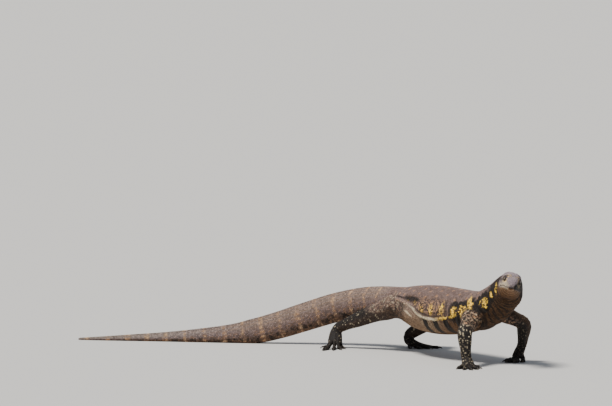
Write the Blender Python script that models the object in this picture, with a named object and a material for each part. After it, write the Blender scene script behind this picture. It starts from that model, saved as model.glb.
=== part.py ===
"""A life-size nile monitor, walking, as solid lofts parted at its joints by thin gaps.

Metres, +Z up, standing on Z = 0. +X is the way the trunk heads and +Y is the animal's left.
Tables are in millimetres. Yaw is degrees in plan, counter-clockwise from +X, and pitch is degrees
above level. The animal is modelled with the point under its hips at the origin, and moved at the end.
"""

import math

import bmesh
import bpy
import numpy as np

# Gap between neighbouring nodes, and how far a foot or the tail is pressed below the floor's level
GAP = 0.3
SINK = 0.4

# Axis of the body from the tip of the tail to the back of the head.
# Each row: x, y, height of the axis, half width, height of the back over it, depth of the belly.
TAIL = [
    (-570.0, -468.7, 1.6, 1.4, 2.1, 1.9),
    (-526.3, -422.0, 3.9, 3.0, 4.5, 4.2),
    (-494.3, -383.0, 5.8, 4.1, 6.4, 6.1),
    (-457.3, -339.7, 7.9, 5.4, 8.6, 8.2),
    (-395.4, -270.0, 12.7, 8.0, 13.8, 13.1),
    (-345.5, -212.6, 18.4, 11.0, 19.6, 18.9),
    (-322.5, -185.1, 23.1, 12.8, 24.0, 23.6),
    (-283.7, -142.8, 37.5, 15.2, 26.3, 25.5),
    (-250.1, -109.5, 53.0, 17.0, 27.3, 26.5),
    (-188.1, -51.9, 79.3, 20.0, 28.6, 27.5),
    (-137.0, -21.5, 91.5, 22.0, 30.0, 28.5),
    (-87.0, -8.0, 97.0, 24.0, 31.0, 29.5),
]
TRUNK = [
    (-37.0, -1.0, 99.6, 27.0, 32.5, 31.5),
    (0.0, 0.0, 100.5, 35.0, 35.0, 35.0),
    (35.0, -1.5, 99.8, 43.0, 40.5, 40.0),
    (80.0, -3.2, 98.8, 52.5, 46.5, 46.0),
    (145.0, -3.8, 98.6, 57.5, 49.5, 49.5),
    (215.0, -1.5, 100.5, 54.0, 46.5, 46.0),
    (262.0, 2.0, 104.5, 48.0, 42.0, 40.0),
    (290.0, 5.5, 109.5, 43.0, 39.0, 37.0),
]
# The neck leaves the shoulders along this yaw and pitch. Each row: share of the way to the head, sizes.
NECK_LEAVES = (13.0, 24.0)
NECK = [
    (0.33, 35.5, 31.0, 40.0),
    (0.68, 29.0, 24.5, 38.0),
    (1.00, 22.6, 23.8, 28.5),
]
NAPE_HEIGHT = 5.1
TAIL_CUTS = (0.0, 0.20, 0.42, 0.62, 0.81)
KEEL_SHARE = 0.13
KEEL_ANGLE = 0.42
NECK_AFTER_SHOULDERS = 36.0

# The head, from its snout: tip of the snout, yaw, pitch, and roll with the left side down
SNOUT = (460.6, -30.6, 169.5)
HEAD_YAW = -30.0
HEAD_PITCH = 3.0
HEAD_ROLL = -15.0
HEAD_LENGTH = 85.0
# Each row: distance behind the snout, top, half width of the flat top, half width at the lips,
# height of the line of the mouth, underside
HEAD = [
    (0.0, 2.4, 1.0, 1.6, 0.2, -1.4),
    (0.7, 5.2, 2.2, 3.6, 0.1, -2.8),
    (2.2, 8.6, 3.4, 6.0, 0.0, -4.2),
    (5.0, 12.6, 5.2, 8.6, -0.2, -6.0),
    (10.0, 15.7, 7.4, 10.4, -0.5, -7.6),
    (20.0, 18.4, 9.4, 12.2, 0.3, -9.2),
    (29.0, 20.8, 11.4, 14.2, 0.5, -11.0),
    (37.0, 24.4, 13.8, 16.4, 0.1, -13.0),
    (46.0, 26.0, 13.8, 18.4, -0.8, -15.5),
    (56.0, 27.2, 13.2, 20.6, -2.1, -18.5),
    (66.0, 27.9, 13.4, 22.0, -3.2, -21.0),
    (76.0, 28.3, 14.6, 22.5, -3.5, -22.6),
    (85.0, 28.8, 15.8, 22.6, -3.5, -23.4),
]
MOUTH_CORNER = 60.0
MOUTH_SHEET = 0.35
# Places on the head: distance behind the snout, from the middle, above the line of the mouth
EYE_AT = (37.5, 12.8, 15.0)
EYE_RADIUS = 5.6
LID_THICKNESS = 1.1
EYE_OPENING = (4.9, 3.8)
NOSTRIL_AT = (20.0, 11.6, 12.0)
NOSTRIL_SIZE = (2.0, 1.6, 1.3)
EAR_AT = (78.0, 22.2, 6.5)
EAR_SIZE = (2.6, 3.2, 4.8)

# Limbs. Each leaves the spine at a place on it, and its bones are (length, yaw, pitch):
# the girdle, the upper limb, the lower limb and the palm or sole.
# The forms are half sizes along a limb, as (bone and share of it, thick, wide).
ARM_FORM = [
    (0.0, 26, 27), (1.0, 20.5, 21.5), (1.4, 16.5, 17.0), (1.75, 14.0, 14.5),
    (2.0, 14.5, 14.5), (2.3, 14.0, 13.5), (2.7, 10.8, 10.5), (3.0, 8.5, 10.0),
    (3.45, 6.6, 12.0), (4.0, 5.2, 13.0),
]
LEG_FORM = [
    (0.0, 30, 31), (1.0, 24, 26), (1.35, 20.5, 22.5), (1.75, 17.5, 18.0),
    (2.0, 17.0, 17.0), (2.3, 16.5, 15.5), (2.7, 12.8, 11.8), (3.0, 10.2, 11.0),
    (3.45, 7.8, 13.5), (4.0, 5.8, 15.5),
]
# Each digit: length without the claw, spread from the palm's yaw to the outer side, root on the palm
HAND = dict(
    names=("hand", "claw_hand"),
    radius=3.9,
    digits=[(17, -46, 0.66), (24, -22, 0.86), (28, -2, 0.92), (27, 18, 0.84), (19, 44, 0.62)],
)
FOOT = dict(
    names=("foot", "claw_foot"),
    radius=4.3,
    digits=[(20, -40, 0.66), (30, -20, 0.84), (40, -3, 0.92), (52, 13, 0.84), (27, 66, 0.35)],
)
LIMBS = {
    "arm_right": dict(
        root=(302, -4, 100), side=-1, form=ARM_FORM, tip=HAND, cuts=(1.985, 2.985),
        bones=((23.5, -90, -11), (64, -46, -22.5), (54, -10, -76), (28, -22, -28)),
        bends=(14, 16, 11),
    ),
    "arm_left": dict(
        root=(292, 18, 111), side=1, form=ARM_FORM, tip=HAND, cuts=(1.985, 2.985),
        bones=((22.5, 90, -12), (62, 60, -25), (55, 161, -60), (30, -70, -55)),
        bends=(14, 16, 11),
    ),
    "leg_right": dict(
        root=(0, -10, 99), side=-1, form=LEG_FORM, tip=FOOT, cuts=(1.985, 2.985),
        bones=((17, -90, -5), (83, 196.5, -18), (87, 207, -21.5), (38, -38, -52)),
        bends=(13, 20, 13),
    ),
    "leg_left": dict(
        root=(0, 10, 99), side=1, form=LEG_FORM, tip=FOOT, cuts=(1.985, 2.985),
        bones=((17, 90, -5), (82, 122, -23), (86, 222, -34), (38, 20, -16)),
        bends=(13, 23, 12),
    ),
}
DIGIT_TAPER = 0.72
DIGIT_FLAT = 0.55
CLAW_LENGTH = 11.0
CLAW_SIZE = (1.7, 2.3)

# How finely each kind of loft is faceted
SPINE_SIDES = 28
TORSO_RING = 13.0
TAIL_SIDES = 18
HEAD_SIDES = 20
LIMB_SIDES = 16
DIGIT_SIDES = 8
CLAW_SIDES = 6

UP = np.array((0.0, 0.0, 1.0))


def hermite(knots, values, slope, at):
    """Cubic through the values at the knots, with the slope given at each."""
    i = np.clip(np.searchsorted(knots, at, side="right") - 1, 0, len(knots) - 2)
    step = (knots[i + 1] - knots[i])[:, None]
    t = np.clip((at - knots[i])[:, None] / step, 0, 1)
    return (
        (1 + 2 * t) * (1 - t) ** 2 * values[i]
        + t * (1 - t) ** 2 * step * slope[i]
        + t * t * (3 - 2 * t) * values[i + 1]
        + t * t * (t - 1) * step * slope[i + 1]
    )


def table(rows, at):
    """Columns of a table read between its rows. Its slopes are harmonic means, so it never overshoots."""
    rows = np.asarray(rows, float)
    knots, values = rows[:, 0], rows[:, 1:]
    chord = np.diff(values, axis=0) / np.diff(knots)[:, None]
    left, right = chord[:-1], chord[1:]
    same = left * right > 0
    mean = np.where(same, 2 * left * right / np.where(same, left + right, 1), 0)
    slope = np.vstack([chord[:1], mean, chord[-1:]])
    return hermite(knots, values, slope, np.atleast_1d(np.asarray(at, float)))


def unit(vectors):
    return vectors / np.linalg.norm(vectors, axis=-1, keepdims=True)


def heading(yaw, pitch=0.0):
    """Unit vector along a yaw and a pitch in degrees."""
    yaw, pitch = math.radians(yaw), math.radians(pitch)
    level = math.cos(pitch)
    return np.array((math.cos(yaw) * level, math.sin(yaw) * level, math.sin(pitch)))


def turned(left, up, degrees):
    """A frame's left and up turned about its forward: left' = left cos + up sin."""
    c, s = np.cos(np.radians(degrees)), np.sin(np.radians(degrees))
    return left * c + up * s, up * c - left * s


class Head:
    """The head's own frame and its sections."""

    def __init__(self):
        self.forward = heading(HEAD_YAW, HEAD_PITCH)
        left = unit(np.cross(UP, self.forward))
        self.left, self.up = turned(left, np.cross(self.forward, left), HEAD_ROLL)
        self.tip = np.array(SNOUT)

    def at(self, behind, across, high):
        """Point in the world of a place on the head."""
        return self.tip - behind * self.forward + across * self.left + high * self.up

    def way(self, forward, left, up):
        return unit(forward * self.forward + left * self.left + up * self.up)

    def rings(self, behind, half_sides):
        """Sections through twelve points a side: crown, brow, cheek, lips, jaw and chin."""
        top, brow, wide, mouth, under = table(HEAD, behind).T
        high, low = top - mouth, mouth - under
        cheek = np.clip((np.asarray(behind) - 40) / 20, 0, 1)
        side = [
            (0 * top, top),
            (0.55 * brow, top - 0.02 * high),
            (brow, top - 0.13 * high),
            (brow + (wide - brow) * (0.42 + 0.3 * cheek), mouth + 0.56 * high),
            (brow + (wide - brow) * (0.86 + 0.1 * cheek), mouth + 0.26 * high),
            (wide, mouth + 0.09 * high),
            (0.985 * wide, mouth + 0.012 * high),
            (0.955 * wide, mouth - 0.10 * low),
            (0.92 * wide, mouth - 0.45 * low),
            (0.66 * wide, mouth - 0.86 * low),
            (0.30 * wide, mouth - 0.99 * low),
            (0 * top, under),
        ]
        half = np.stack([np.stack(pair, axis=1) for pair in side], axis=1)
        closed = np.concatenate([half, half[:, -2:0:-1] * (-1, 1)], axis=1)
        count = closed.shape[1]
        at = np.arange(2 * half_sides) * count / (2 * half_sides)
        i = np.floor(at).astype(int)
        t = (at - i)[:, None]
        p = [closed[:, (i + k) % count] for k in (-1, 0, 1, 2)]
        curve = 0.5 * (
            2 * p[1] + (p[2] - p[0]) * t
            + (2 * p[0] - 5 * p[1] + 4 * p[2] - p[3]) * t * t
            + (3 * p[1] - p[0] - 3 * p[2] + p[3]) * t ** 3
        )
        back = np.asarray(behind)[:, None, None]
        middle = self.tip - back * self.forward
        return middle + curve[..., :1] * self.left + curve[..., 1:] * self.up

    def eye_frame(self, side):
        """Outward, forward and upward ways of an eye's opening."""
        out = self.way(0.22, side, 0.10)
        ahead = unit(self.forward - (self.forward @ out) * out)
        return out, ahead, np.cross(out, ahead) * side


class Spine:
    """The body's axis as a cubic through the rows of the tables, read by length along it."""

    def __init__(self):
        nape = Head().at(HEAD_LENGTH, 0, NAPE_HEIGHT)
        rows = np.array(TAIL + TRUNK, float)
        points = np.vstack([rows[:, :3], nape])
        knots = np.append(0, np.cumsum(np.linalg.norm(np.diff(points, axis=0), axis=1)))
        chord = np.diff(points, axis=0) / np.diff(knots)[:, None]
        span = np.diff(knots)[:, None]
        slope = (chord[:-1] * span[1:] + chord[1:] * span[:-1]) / (span[1:] + span[:-1])
        slope[-1] = heading(*NECK_LEAVES)
        slope = np.vstack([chord[:1], slope, heading(HEAD_YAW, HEAD_PITCH)])
        self.knots, self.points, self.slope = knots, points, slope
        neck = np.array(NECK)
        neck[:, 0] = knots[-2] + neck[:, 0] * (knots[-1] - knots[-2])
        self.sizes = np.vstack([np.column_stack([knots[:-1], rows[:, 3:]]), neck])
        self.vent = knots[len(TAIL)]
        self.hips = knots[len(TAIL) + 1]
        self.shoulders = knots[len(TAIL) + len(TRUNK) - 1]
        self.end = knots[-1]

    def frame(self, s):
        """Centre, forward, left and up at each length. The neck rolls with the head."""
        s = np.atleast_1d(np.asarray(s, float))
        centre = hermite(self.knots, self.points, self.slope, s)
        ahead = hermite(self.knots, self.points, self.slope, np.minimum(s + 0.05, self.end))
        behind = hermite(self.knots, self.points, self.slope, np.maximum(s - 0.05, 0))
        forward = unit(ahead - behind)
        left = unit(np.cross(UP, forward))
        up = np.cross(forward, left)
        share = np.clip((s - self.shoulders) / (self.end - self.shoulders), 0, 1)
        left, up = turned(left, up, (HEAD_ROLL * share * share * (3 - 2 * share))[:, None])
        return centre, forward, left, up

    def rings(self, s, sides, grow=0.0):
        """Rings round the axis: an ellipse with a squarer belly, and the tail's keel on top."""
        s = np.atleast_1d(np.asarray(s, float))
        centre, _, left, up = self.frame(s)
        width, above, below = (table(self.sizes, s) + grow).T[:, :, None]
        angle = np.arange(sides) * 2 * math.pi / sides
        c, n = np.cos(angle), np.sin(angle)
        squarer = np.where(c < 0, 0.88, 1.0)
        across = width * np.sign(n) * np.abs(n) ** squarer
        high = np.where(c > 0, above, below) * np.sign(c) * np.abs(c) ** squarer
        tail = np.clip((self.vent - s) / (0.25 * self.vent), 0, 1)[:, None]
        wrapped = np.minimum(angle, 2 * math.pi - angle)
        high = high + tail * KEEL_SHARE * above * np.exp(-((wrapped / KEEL_ANGLE) ** 2))
        return centre[:, None] + left[:, None] * across[..., None] + up[:, None] * high[..., None]


class Limb:
    """A limb's axis: its bones joined by arcs, read by bone and share, as 1.5 is half along bone 1."""

    def __init__(self, spec):
        self.spec = spec
        corners = [np.array(spec["root"], float)]
        for length, yaw, pitch in spec["bones"]:
            corners.append(corners[-1] + length * heading(yaw, pitch))
        self.lengths = [bone[0] for bone in spec["bones"]]
        way = unit(np.diff(np.array(corners), axis=0))
        points, places = [corners[0]], [0.0]
        for i, radius in enumerate(spec["bends"]):
            a, b, corner = way[i], way[i + 1], corners[i + 1]
            turn = math.acos(float(np.clip(a @ b, -1, 1)))
            reach = radius * math.tan(turn / 2)
            inward = unit(b - a)
            centre = corner + inward * radius / math.cos(turn / 2)
            t = np.linspace(-1, 1, 61)
            side = unit(a + b)
            arc = np.sin(t * turn / 2)[:, None] * side - np.cos(t * turn / 2)[:, None] * inward
            points += list(centre + radius * arc)
            bone = np.where(t < 0, self.lengths[i], self.lengths[i + 1])
            places += list(i + 1 + t * reach / bone)
        points.append(corners[-1])
        places.append(float(len(self.lengths)))
        self.places, self.points = np.array(places), np.array(points)
        self.yaw = spec["bones"][-1][1]
        self.carry()

    def carry(self):
        """Forward, evened out over the arcs, and left, carried back from the palm's without twisting."""
        fine = np.linspace(0, self.places[-1], 1500)
        points = np.column_stack([np.interp(fine, self.places, p) for p in self.points.T])
        forward = np.pad(unit(np.gradient(points, axis=0)), ((10, 10), (0, 0)), "edge")
        forward = unit(np.column_stack([np.convolve(f, np.ones(21) / 21, "valid") for f in forward.T]))
        left = np.empty_like(points)
        carried = unit(np.cross(UP, heading(self.yaw)))
        for k in range(len(fine) - 1, -1, -1):
            carried = unit(carried - (carried @ forward[k]) * forward[k])
            left[k] = carried
        self.fine, self.fine_points, self.forward, self.left = fine, points, forward, left

    def frame(self, at):
        at = np.atleast_1d(np.asarray(at, float))

        def read(values):
            return np.column_stack([np.interp(at, self.fine, v) for v in values.T])

        forward = unit(read(self.forward))
        left = read(self.left)
        left = unit(left - (left * forward).sum(axis=1, keepdims=True) * forward)
        return read(self.fine_points), forward, left, np.cross(forward, left)

    def rings(self, at, sides, shrink=None):
        centre, _, left, up = self.frame(at)
        thick, wide = table(self.spec["form"], at).T[:, :, None]
        if shrink is not None:
            thick, wide = thick * shrink[:, None], wide * shrink[:, None]
        angle = np.arange(sides) * 2 * math.pi / sides
        across = left[:, None] * (wide * np.sin(angle))[..., None]
        return centre[:, None] + across + up[:, None] * (thick * np.cos(angle))[..., None]

    def gap(self, place):
        """A length of GAP at this place, as a difference of places."""
        ends = self.frame((place - 0.005, place + 0.005))[0]
        return GAP * 0.01 / float(np.linalg.norm(ends[1] - ends[0]))


def mesh_object(name, points, faces):
    mesh = bpy.data.meshes.new(name)
    mesh.from_pydata((np.asarray(points) * 0.001).tolist(), [], faces)
    mesh.update()
    obj = bpy.data.objects.new(name, mesh)
    bpy.context.scene.collection.objects.link(obj)
    return obj


def loft(name, rings):
    """A closed solid through rings of points, with a flat face at each end."""
    count, sides = rings.shape[:2]
    around = np.arange(sides)
    after = np.roll(around, -1)
    faces = []
    for k in range(count - 1):
        a, b = k * sides, (k + 1) * sides
        faces += np.stack([around + a, after + a, after + b, around + b], axis=1).tolist()
    faces.append(around[::-1].tolist())
    faces.append((around + (count - 1) * sides).tolist())
    obj = mesh_object(name, rings.reshape(-1, 3), faces)
    if signed_volume(obj) < 0:
        obj.data.flip_normals()
    return obj


def signed_volume(obj):
    mesh = obj.data
    mesh.calc_loop_triangles()
    corners = np.empty(len(mesh.loop_triangles) * 3, np.int32)
    mesh.loop_triangles.foreach_get("vertices", corners)
    points = np.empty(len(mesh.vertices) * 3, np.float32)
    mesh.vertices.foreach_get("co", points)
    triangles = points.reshape(-1, 3)[corners.reshape(-1, 3)]
    return float(np.linalg.det(triangles.astype(float)).sum())


def ball(name, centre, axes, sizes, around=16, high=10):
    """An ellipsoid: axes are three unit vectors and sizes its three half lengths."""
    work = bmesh.new()
    bmesh.ops.create_uvsphere(work, u_segments=around, v_segments=high, radius=1)
    turn = np.array(axes) * np.array(sizes)[:, None]
    for vertex in work.verts:
        vertex.co = (np.array(centre) + np.array(vertex.co) @ turn) * 0.001
    mesh = bpy.data.meshes.new(name)
    work.to_mesh(mesh)
    work.free()
    obj = bpy.data.objects.new(name, mesh)
    bpy.context.scene.collection.objects.link(obj)
    if signed_volume(obj) < 0:
        mesh.flip_normals()
    return obj


def combine(target, others, operation):
    """One Boolean of the target with closed meshes, applied. The others are removed."""
    group = bpy.data.collections.new(target.name + "_pieces")
    for other in others:
        group.objects.link(other)
    bpy.context.view_layer.update()
    modifier = target.modifiers.new("combine", "BOOLEAN")
    modifier.operation = operation
    modifier.operand_type = "COLLECTION"
    modifier.collection = group
    modifier.solver = "EXACT"
    with bpy.context.temp_override(object=target, active_object=target):
        bpy.ops.object.modifier_apply(modifier=modifier.name)
    for other in others:
        bpy.data.objects.remove(other)
    bpy.data.collections.remove(group)
    return target


def islands(obj):
    """Vertices of each connected piece of a mesh, the largest piece first."""
    work = bmesh.new()
    work.from_mesh(obj.data)
    seen, found = set(), []
    for start in work.verts:
        if start.index in seen:
            continue
        seen.add(start.index)
        piece, front = [], [start]
        while front:
            vertex = front.pop()
            piece.append(vertex.index)
            for edge in vertex.link_edges:
                other = edge.other_vert(vertex)
                if other.index not in seen:
                    seen.add(other.index)
                    front.append(other)
        found.append(piece)
    work.free()
    return sorted(found, key=len, reverse=True)


def keep(obj, vertices):
    """Leaves only these vertices of a mesh, and the faces between them."""
    wanted = set(vertices)
    work = bmesh.new()
    work.from_mesh(obj.data)
    gone = [v for v in work.verts if v.index not in wanted]
    bmesh.ops.delete(work, geom=gone, context="VERTS")
    work.to_mesh(obj.data)
    work.free()


def whole(obj):
    """Drops crumbs that a Boolean left beside the largest piece."""
    found = islands(obj)
    if len(found) > 1:
        keep(obj, found[0])
    return obj


def floor_cutter():
    bpy.ops.mesh.primitive_cube_add(size=4, location=(0, 0, -2))
    return bpy.context.object


def evenly(start, stop, spacing):
    return np.linspace(start, stop, max(2, int(round(abs(stop - start) / spacing)) + 1))


def make_trunk(spine):
    """Neck, torso and tail nodes."""
    neck = spine.shoulders + NECK_AFTER_SHOULDERS
    rings = spine.rings(evenly(neck + GAP, spine.end, 7), SPINE_SIDES)
    rings[-1] -= GAP * Head().forward
    loft("neck", rings)
    loft("torso", spine.rings(evenly(spine.vent, neck, TORSO_RING), SPINE_SIDES))
    cuts = [spine.vent * (1 - share) for share in TAIL_CUTS] + [0.0]
    for i, (front, back) in enumerate(zip(cuts[:-1], cuts[1:]), 1):
        spacing = np.interp(front, (0, spine.vent), (7, 13))
        length = loft(f"tail_{i}", spine.rings(evenly(back, front - GAP, spacing), TAIL_SIDES))
        if i >= 3:
            combine(length, [floor_cutter()], "DIFFERENCE")


def grown_body(spine):
    """The body grown by the gap, faceted as the nodes are, to cut the limbs back with."""
    neck = spine.shoulders + NECK_AFTER_SHOULDERS
    body = loft("body", spine.rings(evenly(spine.vent, neck, TORSO_RING), SPINE_SIDES, 1.3 * GAP))
    front = spine.rings(evenly(neck - 1, spine.end - 8, 7), SPINE_SIDES, 1.6 * GAP)
    first = spine.vent * (1 - TAIL_CUTS[1])
    back = spine.rings(evenly(first, spine.vent + 1, 12), TAIL_SIDES, 1.6 * GAP)
    return combine(body, [loft("front", front), loft("back", back)], "UNION")


def mouth_cutter(head):
    """A thin bent sheet along the line of the mouth that turns down behind its corner."""
    places = np.array([-6.0, 3, 10, 20, 30, 38, 46, 53, MOUTH_CORNER])
    line = table(HEAD, np.maximum(places, 0))[:, 3]
    along = np.append(places, (MOUTH_CORNER + 3.5, MOUTH_CORNER + 7.5))
    line = np.append(line, (line[-1] - 4.5, -40))
    run = np.stack([along, line], axis=1)
    normal = unit(np.gradient(run, axis=0))[:, ::-1] * (-1, 1)
    edge = np.concatenate([run + normal * MOUTH_SHEET / 2, (run - normal * MOUTH_SHEET / 2)[::-1]])
    return loft("mouth", np.array([[head.at(b, a, h) for b, h in edge] for a in (-60, 60)]))


def make_head():
    head = Head()
    front = [0, 0.7, 2.2, 5.0, 8.0]
    behind = np.concatenate([front, np.arange(12, HEAD_LENGTH - 2, 4.0), [HEAD_LENGTH]])
    skull = loft("head", head.rings(behind, HEAD_SIDES))
    lids, holes = [], [mouth_cutter(head)]
    for side, name in ((1, "left"), (-1, "right")):
        centre = head.at(EYE_AT[0], side * EYE_AT[1], EYE_AT[2])
        out, ahead, high = head.eye_frame(side)
        axes = (ahead, high, out)
        lid = EYE_RADIUS + GAP + LID_THICKNESS
        lids.append(ball("lid", centre, axes, (lid * 1.08, lid * 0.98, lid), 18, 12))
        holes.append(ball("socket", centre, axes, (EYE_RADIUS + GAP,) * 3, 20, 12))
        holes.append(ball("opening", centre + out * 7.5, axes, (*EYE_OPENING, 5.5), 16, 8))
        ball(f"eye_{name}", centre, axes, (EYE_RADIUS,) * 3, 20, 12)
        place = head.at(NOSTRIL_AT[0], side * NOSTRIL_AT[1], NOSTRIL_AT[2])
        out = head.way(0.2, side, 0.45)
        ahead = unit(head.forward - (head.forward @ out) * out)
        holes.append(ball("nostril", place, (ahead, np.cross(out, ahead), out), NOSTRIL_SIZE, 12, 8))
        place = head.at(EAR_AT[0], side * EAR_AT[1], EAR_AT[2])
        axes = (head.forward, head.left, head.up)
        holes.append(ball("ear", place, axes, EAR_SIZE, 14, 8))
    combine(skull, lids, "UNION")
    combine(skull, holes, "DIFFERENCE")
    found = islands(skull)
    jaw = bpy.data.objects.new("lower_jaw", skull.data.copy())
    bpy.context.scene.collection.objects.link(jaw)
    keep(skull, found[0])
    keep(jaw, found[1])


def digit_rings(start, yaw, length, radius):
    """A digit that comes down from the palm and lies along the floor, and where its claw starts."""
    end = radius * DIGIT_TAPER
    drop = max(start[2] - end + SINK, 0)
    level = math.sqrt(max(length ** 2 - drop ** 2, (0.6 * length) ** 2))
    t = np.linspace(0, 1, 7)
    down = np.clip(1 - t / DIGIT_FLAT, 0, 1)
    arch = 0.35 * radius * np.sin(math.pi * np.clip(t / 0.8, 0, 1))
    high = end - SINK + drop * down ** 2 * (3 - 2 * down) + arch * (1 - down ** 4)
    way = heading(yaw)
    centre = start * (1, 1, 0) + (t * level)[:, None] * way + high[:, None] * UP
    size = radius * (1 - (1 - DIGIT_TAPER) * t)
    forward = unit(np.gradient(centre, axis=0))
    left = unit(np.cross(UP, way))
    up = np.cross(forward, left)
    angle = (np.arange(DIGIT_SIDES) + 0.5) * 2 * math.pi / DIGIT_SIDES
    across = left * (size[:, None] * 0.92 * np.sin(angle))[..., None]
    rings = centre[:, None] + across + up[:, None] * (size[:, None] * np.cos(angle))[..., None]
    return rings, centre[-1]


def claw_rings(start, yaw):
    """A hooked cone: its pitch turns from 20 degrees up to 60 down along its length."""
    t = np.linspace(0, 1, 6)
    pitch = np.radians(20 - 80 * t)
    step = CLAW_LENGTH / (len(t) - 1)
    level = np.append(0, np.cumsum(np.cos(pitch[:-1]) * step))
    high = np.append(0, np.cumsum(np.sin(pitch[:-1]) * step))
    way = heading(yaw)
    centre = start + level[:, None] * way + high[:, None] * UP
    centre[:, 2] = np.maximum(centre[:, 2], 0.4)
    size = ((1 - t) ** 0.75 * 0.94 + 0.06)[:, None]
    left = unit(np.cross(UP, way))
    tilt = pitch * (t > 0)
    up = np.cos(tilt)[:, None] * UP - np.sin(tilt)[:, None] * way
    angle = np.arange(CLAW_SIDES) * 2 * math.pi / CLAW_SIDES
    wide, tall = CLAW_SIZE
    across = left * (size * wide * np.sin(angle))[..., None]
    return centre[:, None] + across + up[:, None] * (size * tall * np.cos(angle))[..., None]


def make_limb(name, spec, spine):
    """Upper limb, lower limb, and a palm joined to five digits, each with its claw."""
    limb = Limb(spec)
    kind, side_name = name.split("_")
    first, second = spec["cuts"]
    upper = loft(f"{kind}_upper_{side_name}", limb.rings(np.linspace(0.2, first, 12), LIMB_SIDES))
    combine(upper, [grown_body(spine)], "DIFFERENCE")
    whole(upper)
    low = np.linspace(first + limb.gap(first), second, 11)
    loft(f"{kind}_lower_{side_name}", limb.rings(low, LIMB_SIDES))
    palm_at = np.append(np.linspace(second + limb.gap(second), 3.9, 7), (3.97, 4.0))
    shrink = np.append(np.ones(7), (0.85, 0.6))
    foot_name, claw_name = spec["tip"]["names"]
    palm = loft(f"{foot_name}_{side_name}", limb.rings(palm_at, LIMB_SIDES, shrink))
    radius = spec["tip"]["radius"]
    digits = []
    for i, (length, spread, share) in enumerate(spec["tip"]["digits"], 1):
        centre, _, left, _ = limb.frame(3 + share)
        wide = table(spec["form"], 3 + share)[0, 1]
        yaw = limb.yaw + spec["side"] * spread
        root = centre[0] + left[0] * (i - 3) / 2 * spec["side"] * (wide - radius * 0.9)
        rings, tip = digit_rings(root - heading(yaw) * 3.0, yaw, length + 3.0, radius)
        digits.append(loft("digit", rings))
        loft(f"{claw_name}_{side_name}_{i}", claw_rings(tip + heading(yaw) * GAP, yaw))
    combine(palm, digits, "UNION")
    combine(palm, [floor_cutter()], "DIFFERENCE")
    whole(palm)


def principled(name, colour, roughness):
    material = bpy.data.materials.new(name)
    material.use_nodes = True
    shader = material.node_tree.nodes["Principled BSDF"]
    shader.inputs["Base Color"].default_value = (*colour, 1)
    shader.inputs["Roughness"].default_value = roughness
    return material


def finish():
    """Moves the animal so that the origin is under the middle of its box, and gives it materials."""
    objects = [obj for obj in bpy.data.objects if obj.type == "MESH"]
    clouds = []
    for obj in objects:
        points = np.empty(len(obj.data.vertices) * 3, np.float32)
        obj.data.vertices.foreach_get("co", points)
        clouds.append(points.reshape(-1, 3).astype(float))
    every = np.vstack(clouds)
    low, high = every.min(axis=0), every.max(axis=0)
    shift = np.array(((low[0] + high[0]) / 2, (low[1] + high[1]) / 2, low[2]))
    skin = principled("skin", (0.12, 0.10, 0.09), 0.7)
    horn = principled("claw", (0.03, 0.025, 0.02), 0.35)
    eye = principled("eye", (0.02, 0.012, 0.01), 0.08)
    group = bpy.data.collections.new("nile_monitor")
    bpy.context.scene.collection.children.link(group)
    for obj, points in zip(objects, clouds):
        obj.data.vertices.foreach_set("co", (points - shift).ravel())
        kind = horn if obj.name.startswith("claw") else eye if obj.name.startswith("eye") else skin
        obj.data.materials.clear()
        obj.data.materials.append(kind)
        obj.data.polygons.foreach_set("material_index", [0] * len(obj.data.polygons))
        obj.data.update()
        bpy.context.scene.collection.objects.unlink(obj)
        group.objects.link(obj)


def main():
    for obj in list(bpy.data.objects):
        bpy.data.objects.remove(obj)
    spine = Spine()
    make_trunk(spine)
    make_head()
    for name, spec in LIMBS.items():
        make_limb(name, spec, spine)
    finish()


main()
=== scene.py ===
"""Looks of a life-size nile monitor: one continuous skin, a coat of solid scales, eyes and claws.

Tables and shapes are in millimetres in the animal's own frame, with the point under its hips at the
origin, and FRAME_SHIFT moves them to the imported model's frame. Yaw is degrees in plan,
counter-clockwise from +X, and pitch is degrees above level.
"""

import math

import bpy
import numpy as np
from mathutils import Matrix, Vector


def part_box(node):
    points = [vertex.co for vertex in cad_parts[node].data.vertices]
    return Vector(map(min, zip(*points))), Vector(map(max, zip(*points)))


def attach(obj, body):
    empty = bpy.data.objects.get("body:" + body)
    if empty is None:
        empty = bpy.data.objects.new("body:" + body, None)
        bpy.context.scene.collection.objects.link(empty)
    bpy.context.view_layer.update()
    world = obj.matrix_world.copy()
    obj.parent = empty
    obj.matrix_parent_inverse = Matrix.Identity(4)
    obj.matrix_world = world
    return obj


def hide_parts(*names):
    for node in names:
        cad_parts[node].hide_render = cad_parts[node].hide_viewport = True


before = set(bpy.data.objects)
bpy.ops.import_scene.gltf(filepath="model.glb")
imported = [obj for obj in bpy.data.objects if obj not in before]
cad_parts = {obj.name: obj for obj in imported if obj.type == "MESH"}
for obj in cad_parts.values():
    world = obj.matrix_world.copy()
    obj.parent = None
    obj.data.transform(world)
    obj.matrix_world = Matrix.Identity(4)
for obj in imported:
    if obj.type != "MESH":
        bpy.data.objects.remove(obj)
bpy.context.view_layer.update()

UP = np.array((0.0, 0.0, 1.0))
# Gap between neighbouring parts, and how deep a digit's pad is pressed flat
GAP = 0.3
SINK = 0.4
# Lowest places over the floor: of the skin, of a scale or a claw's side, and of the line down a claw
LOWEST_SKIN = 0.25
LOWEST_SCALE = 0.02
LOWEST_CLAW_LINE = 0.42
# Factors that turn three whole numbers into one, and how many points are placed along an axis at a time
HASH_STEPS = np.array((73856093, 19349663, 83492791))
POINTS_AT_ONCE = 20000

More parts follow.
